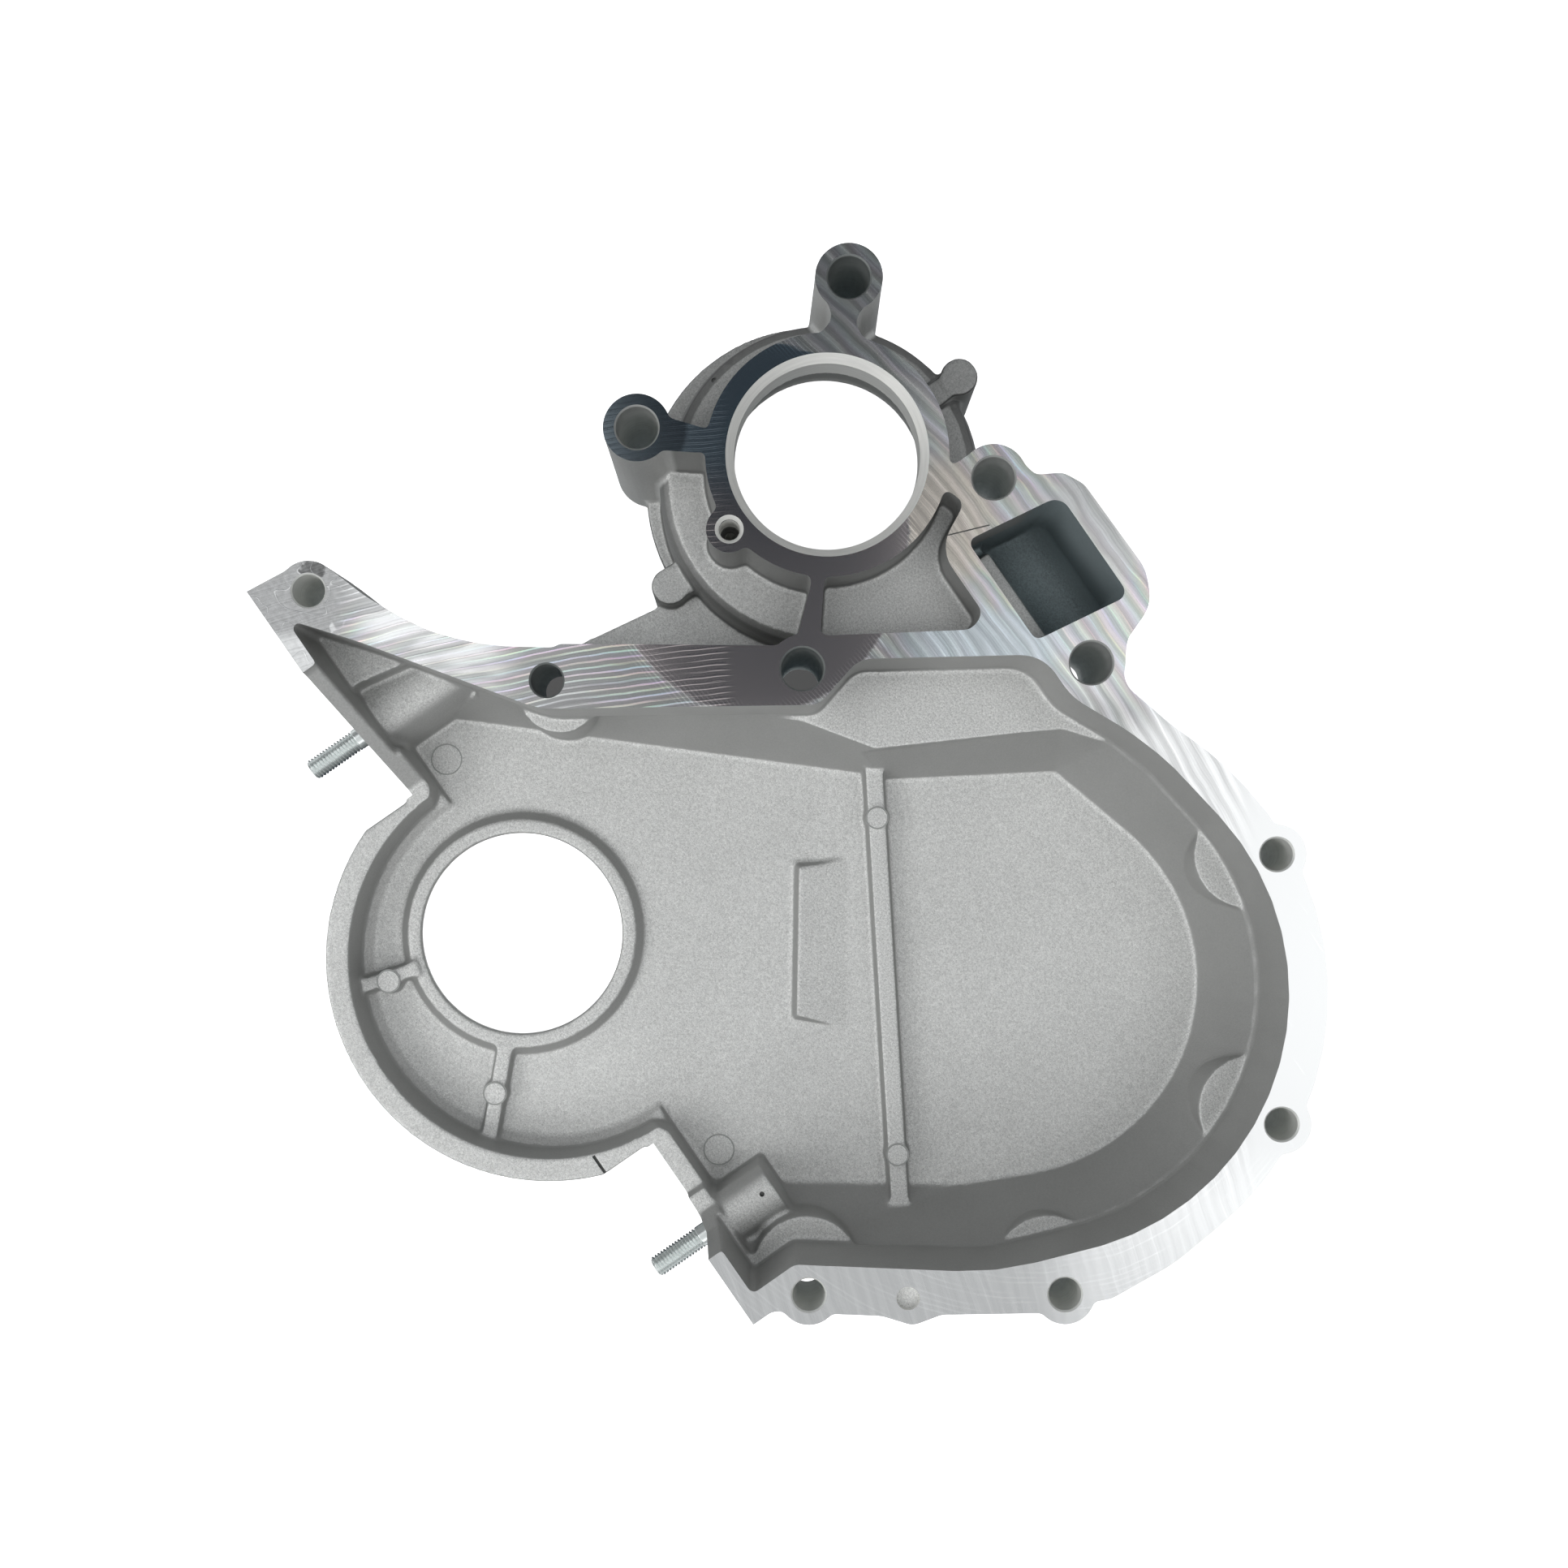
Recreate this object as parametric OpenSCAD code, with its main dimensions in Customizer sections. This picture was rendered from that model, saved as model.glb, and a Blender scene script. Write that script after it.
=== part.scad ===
// Engine timing cover: a die-cast chain case with a water-pump body beside it and two sump studs.
// The crank axis is the origin. +X runs along the sump face, +Y is engine up, +Z points at the block.
// The front of the cover lies on Z = 0 and the milled gasket face is at the top.

/* [Overall] */
// Height of the gasket face above the front plane
cover_depth = 42; // [38:0.2:52]
// Thickness of the bolting rim under the gasket face
rim_t = 22; // [18:0.5:26]
// Depth of the straight cavity wall below the gasket face
wall_depth = 21; // [17:0.5:25]
// Thickness of the floor panel
panel_t = 5; // [4:0.5:7]
// Wall of the hood around the chain case
shell = 4.5; // [3.5:0.25:6]

/* [Sump face] */
// Height of the sump face against the crank axis
sump_y = -1.5; // [-4:0.5:1]
// Left end of the sump face
rail_left = -92.3; // [-96:0.1:-90]
// Right end of the sump face
rail_right = 98.9; // [98:0.1:103]
// Thickness of the wall along the sump face
sump_wall = 4; // [3:0.25:5]

/* [Crank end] */
// Bore for the crank seal
seal_bore_d = 50; // [41:0.5:54]
// Depth of the seal bore from the front
seal_depth = 6; // [4:0.5:7]
// Width of the shoulder that stops the seal
seal_shoulder = 1.4; // [1:0.1:2.5]
// Wall of the raised lip around the seal bore
lip_wall = 1.9; // [1.5:0.1:4]
// Height of the lip above the floor
lip_h = 3; // [2:0.5:5]
// Outer radius of the half-moon
moon_r = 51.8; // [48:0.2:62]
// Wall of the half-moon
moon_wall = 5.4; // [4:0.2:7]
// Height of the half-moon rim above the front plane
moon_rim = 15; // [12:0.5:20]

/* [Cam end] */
// Distance from the crank axis to the cam axis along the sump face
cam_x = 74; // [70:0.5:90]
// Distance from the crank axis to the cam axis, upwards
cam_y = 87; // [84:0.5:96]
// Cavity radius around the cam wheel
cam_r = 56.2; // [50:0.2:68]
// Run of the bevel between the cavity wall and the floor
bevel_run = 9; // [6:0.5:11]

/* [Pump body] */
// Bore of the pump ring
pump_bore_d = 40; // [34:0.5:44]
// Wall of the pump ring
ring_wall = 6.2; // [5:0.2:8]
// Thickness of the pump ring at its bore
ring_t = 9; // [7:0.5:12]
// Radius of the pump flange at the front
pump_flange_r = 39; // [38:0.2:44]
// Thickness of the pump flange
pump_flange_t = 7; // [5:0.5:9]
// Depth of the scroll roof below the gasket face
scroll_depth = 17; // [15:0.5:20]
// Radius of the pump chamber
chamber_r = 33; // [30:0.5:34]

/* [Port] */
// Width of the coolant port
port_w = 26; // [22:0.5:27]
// Height of the coolant port
port_h = 22; // [18:0.5:23]
// Depth of the coolant port
port_depth = 30; // [24:0.5:32]
// Depth of the recess beside the pump ring
recess_depth = 11.5; // [8:0.5:14]

/* [Fixings] */
// Clearance hole for the small bolts
m6_hole_d = 6.9; // [6:0.1:8.4]
// Clearance hole for the large bolts
m8_hole_d = 9; // [7.5:0.1:11]
// Metal around each small bolt hole
m6_edge = 3; // [2.5:0.1:4]
// Metal around each large bolt hole
m8_edge = 2.8; // [2.4:0.1:4]
// Metal over each bolt-head pocket
head_roof = 3.5; // [2.5:0.25:5]
// Room around each small bolt head
head_room = 5.4; // [4:0.2:7]
// Diameter of the sump studs
stud_d = 5; // [4:0.1:6]
// How much thicker each stud is inside its boss
tap_extra = 1; // [0.6:0.1:1.6]
// Length of each stud outside the sump face
stud_out = 16; // [12:0.5:22]
// Length of each stud inside its boss
stud_in = 12; // [9:0.5:14]
// Gap around the stud in its hole
stud_fit = 0.05; // [0.02:0.01:0.1]
// Metal around each stud
stud_edge = 4; // [3.5:0.1:5]

/* [Hidden] */
$fn = 96;
cast_colour = [0.66, 0.67, 0.66];
zinc_colour = [0.78, 0.80, 0.78];
arc_step = 11;
sink = 0.4;

// Levels, measured up from the front plane
ledge_z = cover_depth - wall_depth;
rim_z = cover_depth - rim_t;
seat_z = ledge_z - head_roof;
roof_z = cover_depth - scroll_depth;
recess_z = cover_depth - recess_depth;
stud_z = moon_rim - 1;
corner_z = moon_rim + 1;
cut_z = cover_depth + 1;

// Plan positions of the main axes
cam = [cam_x, cam_y];
pump = [-45.5, 117.6];
flange_at = pump + [-1.25, -2.2];
pump_lugs = [flange_at + [0.5, pump_flange_r + 0.55], flange_at + [1.35, -pump_flange_r - 1.65]];
moon = [8.6, 3];
moon_flat = moon_r - 3.3;
moon_in = moon_r - moon_wall;
moon_step = 1.5;
moon_corner_r = 5;
ring_r = pump_bore_d / 2 + ring_wall;
seal_hole_r = seal_bore_d / 2 - seal_shoulder;
lip_r = seal_bore_d / 2 + lip_wall;
inner_y = sump_y + sump_wall;
m6_lobe_r = m6_hole_d / 2 + m6_edge;
m8_boss_r = m8_hole_d / 2 + m8_edge;
scallop_r = m6_hole_d / 2 + head_room + head_roof;
strip_less = 2.6;
tap_d = stud_d + tap_extra;
tap_room = 0.2;
stud_boss_r = stud_d / 2 + stud_edge;
stud_x = [-58.3, 81.7];
left_hump_r = stud_boss_r + 2;
left_hump_x = stud_x[0] - 1.4;
left_hump_z = stud_z - 2;
right_corner_l = 18;

// Can of the pump body, with a chamber that follows it inside
can_wall = 4;
can_r = pump_flange_r - 2.4;
dome_z = roof_z - 2;
chamber_z = dome_z - can_wall;
chamber_top_r = chamber_r - 5;

// A corner at a polar place around the cam axis, with its radius measured from the cavity wall
function by_cam(wall, angle, r = 0) =
    [cam.x + (cam_r + wall) * cos(angle), cam.y + (cam_r + wall) * sin(angle), r];
function cam_arc(wall, from, to, n) = [for (i = [0 : n]) by_cam(wall, from + (to - from) * i / n)];

// Bolt places
m6_rail = [[-84.8, 9.5], [-39.9, 40.6], [rail_right + 1.5, 11.9]];
m6_cam = [for (b = [[5.2, 84.6], [5.1, 28.3], [8.6, -27.4]]) let (p = by_cam(b[0], b[1])) [p.x, p.y]];
m6_holes = concat(m6_rail, m6_cam);
m6_scallops = concat([m6_rail[2]], m6_cam);
boss_top = [-74.2, 143.1];
boss_left = [-73.5, 87.3];
m8_port = [-21.1, 144.1];
m8_web = [-10.8, 87.1];
m8_neck = [23.4, 138.8];
m8_holes = [boss_top, boss_left, m8_port, m8_web, m8_neck];
dimple = [113.1, 29];
dimple_r = 2.5;
step_hole = [-44.3, 91.2];
step_boss_r = 5;

// Outer edge of the gasket face, without the lobes, the ring and the pump bosses
rim_corners = concat([
    [rail_left, sump_y, 0],
    [-91, 8.5, 0],
    [-86.2, 15.9, 4],
    [-76.7, 18.9, 20],
    [-62.5, 25.6, 40],
    [-52.5, 35.3, 30],
    [-45, 45.6, 0.5],
    [-44.7, 47.4, 0.5],
    [-17.5, 86.2, 2],
    [-17.3, 90.5, 1.5],
    [-24.6, 98.9, 1.5],
    [pump.x + 14, pump.y - 14, 0],
    [pump.x + 14, pump.y + 14, 0],
    [-28.3, 138.6, 1.2],
    [-28.2, 146, 2],
    [-19.4, 151.3, 2],
    [-16.6, 151.8, 2],
    [-13.6, 157, 4],
    [-9, 159.3, 5],
    [13.5, 159.8, 9],
    [20.5, 156.5, 8],
    [23.6, 148, 4],
    [29.5, 143, 3],
    [32.2, 142.2, 5]],
    [by_cam(9.5, 117.9, 20), by_cam(8.8, 107, 30)],
    cam_arc(8.4, 99, 4, 14),
    [by_cam(9.6, -6.1, 20), by_cam(11.5, -19, 2), by_cam(12.2, -32.5, 4)], [
    [120.1, 32.9, 2],
    [118.5, 26.5, 4],
    [113, 22.2, 4],
    [107.3, 14.6, 2],
    [rail_right + 0.6, 4.4, 1.5],
    [rail_right, 3.2, 0.8],
    [rail_right, sump_y, 0]]);

// Chain-case cavity at the gasket face
cavity_corners = concat([
    [-82.6, inner_y - 0.5, 1.1],
    [-69.9, 12, 40],
    [-35.9, 35.7, 15],
    [-2.4, 85.6, 5],
    [-5.6, 98.3, 6],
    [16, 131.2, 9],
    [27, 131.1, 14]],
    [by_cam(4.3, 124.2, 30), by_cam(2.2, 114.3, 30)],
    cam_arc(0, 98, -18, 16),
    [by_cam(3.8, -41, 60)], [
    [93.3, 13.1, 3],
    [93.4, inner_y - 0.5, 1.2]]);

// Recess between the pump ring, its web and the port
recess_corners = [
    [-23.6, 101.6, 1],
    [-14.4, 94.3, 1.2],
    [2.9, 121.6, 3.2],
    [1.6, 125.8, 2.6],
    [-15.2, 125.8, 8],
    [-20.2, 135.9, 2.1],
    [-24.6, 134.5, 2.1],
    [-28, 124, 0],
    [-28, 110, 0]];

// Coolant port, a leaning rectangle
port_at = [1.4, 142.7];
port_lean = 3.4;
port_corners = [
    [port_at.x - port_w / 2 - port_lean / 2, port_at.y - port_h / 2, 1.5],
    [port_at.x + port_w / 2 - port_lean / 2, port_at.y - port_h / 2, 1.5],
    [port_at.x + port_w / 2 + port_lean / 2, port_at.y + port_h / 2, 2],
    [port_at.x - port_w / 2 + port_lean / 2, port_at.y + port_h / 2, 3.5]];
port_ledge = 6.2;

// Webs from the pump ring to its two free bosses; the upper one is narrowest between boss and ring
web_w = 4.4;
web_at = 9.4;
function on_top_arm(along, aside, r = 0) =
    let (way = unit(pump - boss_top))
    [boss_top.x + along * way.x - aside * way.y, boss_top.y + along * way.y + aside * way.x, r];
top_web_corners = [
    on_top_arm(2.5, 5.8),
    on_top_arm(web_at, web_w / 2, 3),
    on_top_arm(14.5, 6),
    on_top_arm(14.5, -6),
    on_top_arm(web_at, -web_w / 2, 3),
    on_top_arm(2.5, -5.8)];
left_web_corners = [
    [-71.5, 94, 0],
    [-65.4, 98.9, 1.5],
    [-60, 101, 0],
    [-61.6, 95, 2],
    [-66.4, 89, 0]];

// Body behind the port and the duct, seen from the front
duct_corners = [
    [-33, 100, 2],
    [-17.2, 87.5, 2],
    [-13, 79.5, 4],
    [6, 82, 4],
    [22, 104, 6],
    [36, 128, 5],
    [30, 141.5, 4],
    [23, 148, 3],
    [19.5, 156, 6],
    [13, 159, 6],
    [-9, 158.5, 5],
    [-14, 154, 4],
    [-27.5, 148.5, 6],
    [-29, 138, 2]];

// Gusset between the pump body and the rim
gusset_corners = [[-47.5, 46.5, 1], [-43.6, 70, 6], [-36, 86, 0], [-14, 92, 0], [2, 82, 0], [-26, 40, 0]];

// Corners to a plan outline with true arcs
function xy(p) = [p.x, p.y];
function unit(v) = v / norm(v);
function turned(v, a) = [v.x * cos(a) - v.y * sin(a), v.x * sin(a) + v.y * cos(a)];
function fillet(a, p, b) =
    let (u = unit(xy(a) - xy(p)),
         v = unit(xy(b) - xy(p)),
         half = acos(u * v) / 2,
         reach = 0.48 * min(norm(xy(a) - xy(p)), norm(xy(b) - xy(p))),
         t = min(p[2] / tan(half), reach),
         centre = xy(p) + unit(u + v) * t / cos(half),
         sweep = (180 - 2 * half) * (cross(u, v) > 0 ? -1 : 1),
         n = ceil(abs(sweep) / arc_step))
    [for (i = [0 : n]) centre + turned(xy(p) + u * t - centre, sweep * i / n)];
function rounded(c) =
    let (n = len(c))
    [for (i = [0 : n - 1])
        each c[i][2] == 0 ? [xy(c[i])] : fillet(c[(i + n - 1) % n], c[i], c[(i + 1) % n])];

module outline(corners) {
    polygon(rounded(corners));
}

module raised(z0, z1) {
    translate([0, 0, z0]) linear_extrude(z1 - z0) children();
}

module post(at, r, z0, z1) {
    translate([at.x, at.y, z0]) cylinder(r = r, h = z1 - z0);
}

module drafted_post(at, r_low, r_top, z0, z1) {
    translate([at.x, at.y, z0]) cylinder(r1 = r_low, r2 = r_top, h = z1 - z0);
}

// A bar in plan between two points
module bar(from, to, width, z0, z1) {
    way = to - from;
    translate([from.x, from.y, z0])
        rotate([0, 0, atan2(way.y, way.x)])
            translate([0, -width / 2, 0])
                cube([norm(way), width, z1 - z0]);
}

// Chain-case plan at the ledge and at the floor, as two convex halves
floor_y = inner_y + 0.7;
corner_x = -51.4;
apex_x = -74;
apex_z = rim_z + 4;
apex_corners = [[rail_left, sump_y], [-66.5, sump_y], [-66.5, 4.5], [-64.2, 15.4], [-64.2, 24], [rail_left, 24]];
module cam_half_top() {
    translate(cam) circle(r = cam_r - 1, $fn = 56);
    polygon([[32.4, 129.8], [14.8, 94.1], [-36, floor_y], [92.2, floor_y], [92.2, 14], [105, 30.5],
        xy(by_cam(2.6, -41)), xy(by_cam(1.2, 114.3)), xy(by_cam(3.3, 124.2))]);
}
module cam_half_floor() {
    translate(cam) circle(r = cam_r - 1 - bevel_run, $fn = 56);
    polygon([[40.1, 125.5], [36.8, 116.7], [22.4, 90], [-36, floor_y], [72.5, floor_y], [82.8, 16.3],
        xy(by_cam(-7.2, -45))]);
}
module crank_half_top() {
    polygon([[14.8, 94.1], [-3.4, 81.5], [-34.2, 37.6], [corner_x, 25], [corner_x, floor_y],
        [14.8, floor_y]]);
}
module crank_half_floor() {
    polygon([[15.7, 88.9], [-2, 69], [-24.2, 34.6], [-29.2, 29.6], [corner_x, 15.2], [corner_x, floor_y],
        [15.7, floor_y]]);
}

module cam_hood(wall, z0, z1) {
    hull() {
        raised(z1 - sink, z1) offset(r = wall, $fn = 32) cam_half_top();
        raised(z0, z0 + sink) offset(r = wall, $fn = 32) cam_half_floor();
    }
}

module crank_hood(wall, z0, z1) {
    hull() {
        raised(z1 - sink, z1) offset(r = wall, $fn = 32) crank_half_top();
        raised(z0, z0 + sink) offset(r = wall, $fn = 32) crank_half_floor();
    }
}

module moon_plan(r, flat) {
    intersection() {
        translate(moon) circle(r = r);
        translate([moon.x - flat, moon.y - r - 1]) square([2 * flat, r + 10]);
    }
}

// Milled gasket plan: rim, lobes, ring, webs and bosses
module gasket_plan() {
    outline(rim_corners);
    for (p = m6_holes) translate(p) circle(r = m6_lobe_r);
    translate(pump) circle(r = ring_r);
    for (p = m8_holes) translate(p) circle(r = m8_boss_r);
    translate(step_hole) circle(r = step_boss_r);
    outline(top_web_corners);
    outline(left_web_corners);
}

module left_corner_plan() {
    corner_w = 24.4;
    intersection() {
        outline(rim_corners);
        translate([corner_x - corner_w, sump_y]) square([corner_w, 40]);
    }
}

module right_corner_plan() {
    translate([stud_x[1] - stud_boss_r, sump_y]) square([rail_right - stud_x[1] + 1.5, right_corner_l]);
}

// Room above the near side of the left hump
module hump_room_plan() {
    intersection() {
        outline(cavity_corners);
        translate([left_hump_x, inner_y - 2]) square([corner_x - left_hump_x + 1, 40]);
    }
}

// Pump body below the ring: a domed can on a flange, the scroll and the lugs
module pump_body() {
    lug_r = 4.2;
    lug_rise = [5, 0];
    scroll_in = 18;
    scroll_r = can_r + 1.4;
    scroll_at = pump + [1.4, -1];
    under_face = cover_depth - 3;
    translate(flange_at) cylinder(r = pump_flange_r, h = pump_flange_t);
    translate(pump)
        rotate_extrude()
            polygon([[0, 1], [can_r, 1], [can_r - 0.6, dome_z - 7], [can_r - 1.8, dome_z - 3],
                [can_r - 4.2, dome_z - 0.8], [ring_r + 0.6, dome_z + 0.4], [ring_r, under_face], [0, under_face]]);
    translate(scroll_at)
        rotate_extrude(angle = 104, start = 222)
            polygon([[scroll_in, 1], [scroll_r, 1], [scroll_r - 0.6, roof_z - 4],
                [scroll_r - 1.4, roof_z - 1.6], [scroll_r - 3.2, roof_z], [scroll_in, roof_z]]);
    for (i = [0, 1]) {
        lug = pump_lugs[i];
        drafted_post(lug, lug_r + 0.4, lug_r, 0, rim_z + lug_rise[i]);
        bar(pump + (lug - pump) * 0.66, lug, 2 * lug_r - 0.2 - lug_rise[i] / 2, 0.5, rim_z - 0.5 + lug_rise[i]);
    }
    for (p = [boss_top, boss_left]) drafted_post(p, m8_boss_r + 0.8, m8_boss_r, 0, cover_depth - sink);
}

// Cavity cut below the ledge
module lower_cavity() {
    cam_hood(0, panel_t, ledge_z + sink);
    crank_hood(0, panel_t, ledge_z + sink);
    raised(corner_z, ledge_z + sink)
        intersection() {
            outline(cavity_corners);
            translate([apex_x - 0.5, inner_y - 2]) square([corner_x - apex_x + 1.5, 40]);
        }
    raised(left_hump_z, ledge_z + sink) hump_room_plan();
    difference() {
        union() {
            drafted_post(moon, moon_in - 1.2, moon_in, panel_t + moon_step, moon_rim);
            drafted_post(moon, moon_in - 4, moon_in - 1.9, panel_t, panel_t + moon_step + 0.1);
        }
        translate([-100, floor_y + 2, 0]) cube([220, 100, 40]);
        for (side = [-1, 1])
            translate([moon.x + side * (moon_flat + 18.4), 0, 20]) cube([40, 200, 60], center = true);
    }
    raised(panel_t + moon_step, moon_rim + 1)
        for (side = [-1, 1])
            translate([moon.x + side * (moon_in - 1.4), floor_y])
                difference() {
                    translate([side > 0 ? -0.5 : -moon_corner_r, -moon_corner_r])
                        square([moon_corner_r + 0.5, moon_corner_r + 0.5]);
                    translate([side * moon_corner_r, -moon_corner_r]) circle(r = moon_corner_r);
                }
}

// Cavity cut from the gasket face down to the ledge, shallower in the narrow left corner
module upper_cavity() {
    difference() {
        raised(ledge_z, cut_z) outline(cavity_corners);
        raised(ledge_z - 1, apex_z) polygon(apex_corners);
    }
}

// Everything that stands inside the chain case
module inner_features() {
    pad_r = 2.7;
    rib_z = panel_t + 4.5;
    drafted_post([0, 0], lip_r + 0.8, lip_r, sink, panel_t + lip_h);
    drafted_post([0, 0], lip_r + 2.4, lip_r - 0.1, panel_t - 0.4, panel_t + lip_h - 0.1);
    bar([14.7, 90.6], [106.4, 35], 4.4, sink, rib_z);
    for (p = [[25.2, 84.3], [92.9, 43.3]]) post(p, pad_r, 1, rib_z + 0.25);
    bar([-7.2, -24.5], [-12.3, -42], 3.4, sink, panel_t + 4);
    bar([19.5, -18.2], [36.5, -35], 3.8, sink, panel_t + 3.2);
    post([-8.5, -31.9], pad_r, 1, panel_t + 4.25);
    post([27.4, -26.5], pad_r, 1, panel_t + 3.45);
    post([-44.3, 8.4], 3.45, 1, panel_t + 0.25);
    post([68.7, 8.9], 3.6, 1, panel_t + 0.25);
    bracket_pad([[29.9, 74.2], [24.4, 62.8], [52.9, 42.4], [62.9, 51]],
        [[29.9, 74.2], [22.1, 62], [52.8, 39.9], [62.9, 51]], 2.4);
    intersection() {
        cam_hood(shell - 0.5, 0.5, ledge_z + 2);
        for (p = m6_scallops) post(p, scallop_r, 0, ledge_z + 2);
    }
    intersection() {
        crank_hood(shell - 0.5, 0.5, ledge_z + 2);
        post(m6_rail[1], scallop_r - strip_less, 0, ledge_z + 2);
    }
}

// A pad that rises from two corners to the other two, with a wider foot
module bracket_pad(c, foot, rise) {
    low = panel_t - 1;
    points = [
        for (p = foot) [p.x, p.y, low],
        for (i = [0 : 3]) [c[i].x, c[i].y, panel_t + (i == 1 || i == 2 ? rise : -0.2)]];
    ends = [[0, 1, 2], [0, 2, 3], [4, 6, 5], [4, 7, 6]];
    sides = [[0, 4, 5], [0, 5, 1], [1, 5, 6], [1, 6, 2], [2, 6, 7], [2, 7, 3], [3, 7, 4], [3, 4, 0]];
    polyhedron(points, concat(ends, sides));
}

// The two stud bosses lie along the sump wall, above the corner floors
module stud_bosses() {
    intersection() {
        translate([left_hump_x, sump_y + 0.5, left_hump_z])
            rotate([-90, 0, 0])
                cylinder(r = left_hump_r, h = 32);
        raised(0, cut_z) outline(rim_corners);
    }
    translate([stud_x[1], sump_y + 0.5, stud_z])
        rotate([-90, 0, 0])
            cylinder(r = stud_boss_r, h = right_corner_l - 0.5);
    difference() {
        raised(3, rim_z + sink) left_corner_plan();
        raised(corner_z, cut_z) outline(cavity_corners);
        raised(left_hump_z, cut_z) hump_room_plan();
    }
    raised(3, corner_z) right_corner_plan();
    raised(corner_z - 1, apex_z)
        intersection() {
            left_corner_plan();
            polygon(apex_corners);
        }
}

// Rail rim: it falls from the left pad in a ramp and from the right pad in a step
module rail_cut() {
    left_top = -71;
    left_foot = moon.x - moon_flat - 1.5;
    right_foot = 72;
    right_top = 82.4;
    right_step = [
        [right_foot, moon_rim + 2.4],
        [right_foot + 4.5, rim_z - 1.5],
        [right_top - 2.4, rim_z + 4]];
    translate([0, inner_y + 3.4, 0])
        rotate([90, 0, 0])
            linear_extrude(80)
                polygon([[left_top, cover_depth - 1], [left_foot, moon_rim], [right_foot, moon_rim],
                    each right_step, [right_top, cut_z + 1], [left_top, cut_z + 1]]);
}

// Port pocket with a rounded floor and a ledge along its lower side
module port_pocket() {
    trough_r = (port_h - port_ledge) / 2 + 1.2;
    low = cover_depth - port_depth;
    notch = [4.6, 7, 4];
    raised(recess_z, cut_z) outline(port_corners);
    intersection() {
        raised(low - 1, recess_z + 1) outline(port_corners);
        union() {
            translate([port_at.x - 30, port_at.y + port_ledge / 2, low + trough_r])
                rotate([0, 90, 0])
                    cylinder(r = trough_r, h = 60);
            translate([port_at.x - 30, port_at.y + port_ledge / 2 - trough_r, low + trough_r])
                cube([60, 2 * trough_r, port_depth]);
            translate([port_corners[0].x - 1, port_corners[0].y - 1, recess_z - notch.z])
                cube([notch.x, notch.y, notch.z + 2]);
        }
    }
}

module pump_cuts() {
    bore_r = pump_bore_d / 2;
    lead = 1.8;
    duct_r = 7;
    duct_z = 13;
    duct_from = pump + [20.5, -4.6];
    duct_way = port_at - duct_from;
    duct_l = norm(duct_way) - 9.5;
    drafted_post(pump, chamber_r, chamber_top_r, -1, chamber_z);
    post(pump, bore_r + 2.4, 0, cover_depth - ring_t);
    post(pump, bore_r, 0, cut_z);
    drafted_post(pump, bore_r - 0.2, bore_r + lead, cover_depth - lead, cover_depth + 0.2);
    translate([duct_from.x, duct_from.y, duct_z])
        rotate([0, 0, atan2(duct_way.y, duct_way.x)])
            rotate([0, 84, 0])
                cylinder(r = duct_r, h = duct_l);
    translate(concat(step_hole, cover_depth - 1)) cylinder(r1 = 2.1, r2 = 3.1, h = 1.05);
    post(step_hole, 2.2, cover_depth - 10, cut_z);
    post(step_hole, 1.3, roof_z - 8, cut_z);
}

module bolt_cuts() {
    for (p = m6_holes) {
        post(p, m6_hole_d / 2, -1, cut_z);
        post(p, m6_hole_d / 2 + head_room - (p == m6_rail[1] ? strip_less : 0), -1, seat_z);
    }
    for (p = m8_holes) post(p, m8_hole_d / 2, -1, cut_z);
    post(dimple, dimple_r, cover_depth - 2.6, cut_z);
    for (x = stud_x)
        translate([x, sump_y - 1, stud_z])
            rotate([-90, 0, 0])
                cylinder(d = tap_d + 2 * stud_fit, h = stud_in + 1);
    translate([moon.x + moon_flat - 5, -15.2, moon_rim - 1]) cube([10, 1.3, 2]);
}

module seal_cuts() {
    post([0, 0], seal_bore_d / 2, -1, seal_depth);
    post([0, 0], seal_hole_r, 0, panel_t + lip_h + 1);
}

module outer_body() {
    raised(rim_z, cover_depth) gasket_plan();
    cam_hood(shell, 0, rim_z + sink);
    crank_hood(shell, 0, rim_z + sink);
    raised(0.2, rim_z + sink)
        translate([corner_x - shell, sump_y]) square([stud_x[1] - corner_x, sump_wall + 1]);
    raised(0, moon_rim) moon_plan(moon_r, moon_flat);
    for (p = m6_holes) post(p, m6_lobe_r - 0.3, seat_z, rim_z + sink);
    raised(3, rim_z + sink) outline(duct_corners);
    raised(1, rim_z - 4) outline(gusset_corners);
    pump_body();
}

module cover_casting() {
    color(cast_colour)
        difference() {
            union() {
                difference() {
                    outer_body();
                    lower_cavity();
                }
                inner_features();
                stud_bosses();
            }
            upper_cavity();
            raised(recess_z, cut_z)
                difference() {
                    outline(recess_corners);
                    translate(pump) circle(r = ring_r);
                }
            rail_cut();
            port_pocket();
            pump_cuts();
            bolt_cuts();
            seal_cuts();
        }
}

// A stud along -Y with chamfered ends, thicker where it is screwed into its boss
module sump_stud(x) {
    chamfer = 0.6;
    tap_l = stud_in - tap_room;
    stud_l = tap_l + stud_out;
    color(zinc_colour)
        translate([x, sump_y + tap_l, stud_z])
            rotate([90, 0, 0])
                rotate_extrude()
                    polygon([[0, 0], [tap_d / 2 - chamfer, 0], [tap_d / 2, chamfer], [tap_d / 2, tap_l],
                        [stud_d / 2, tap_l], [stud_d / 2, stud_l - chamfer],
                        [stud_d / 2 - chamfer, stud_l], [0, stud_l]]);
}

module sump_stud_left() {
    sump_stud(stud_x[0]);
}

module sump_stud_right() {
    sump_stud(stud_x[1]);
}

cover_casting();
sump_stud_left();
sump_stud_right();
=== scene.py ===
import math

import bmesh
import bpy
import numpy as np
import openvdb
from mathutils import Matrix, Vector


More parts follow.
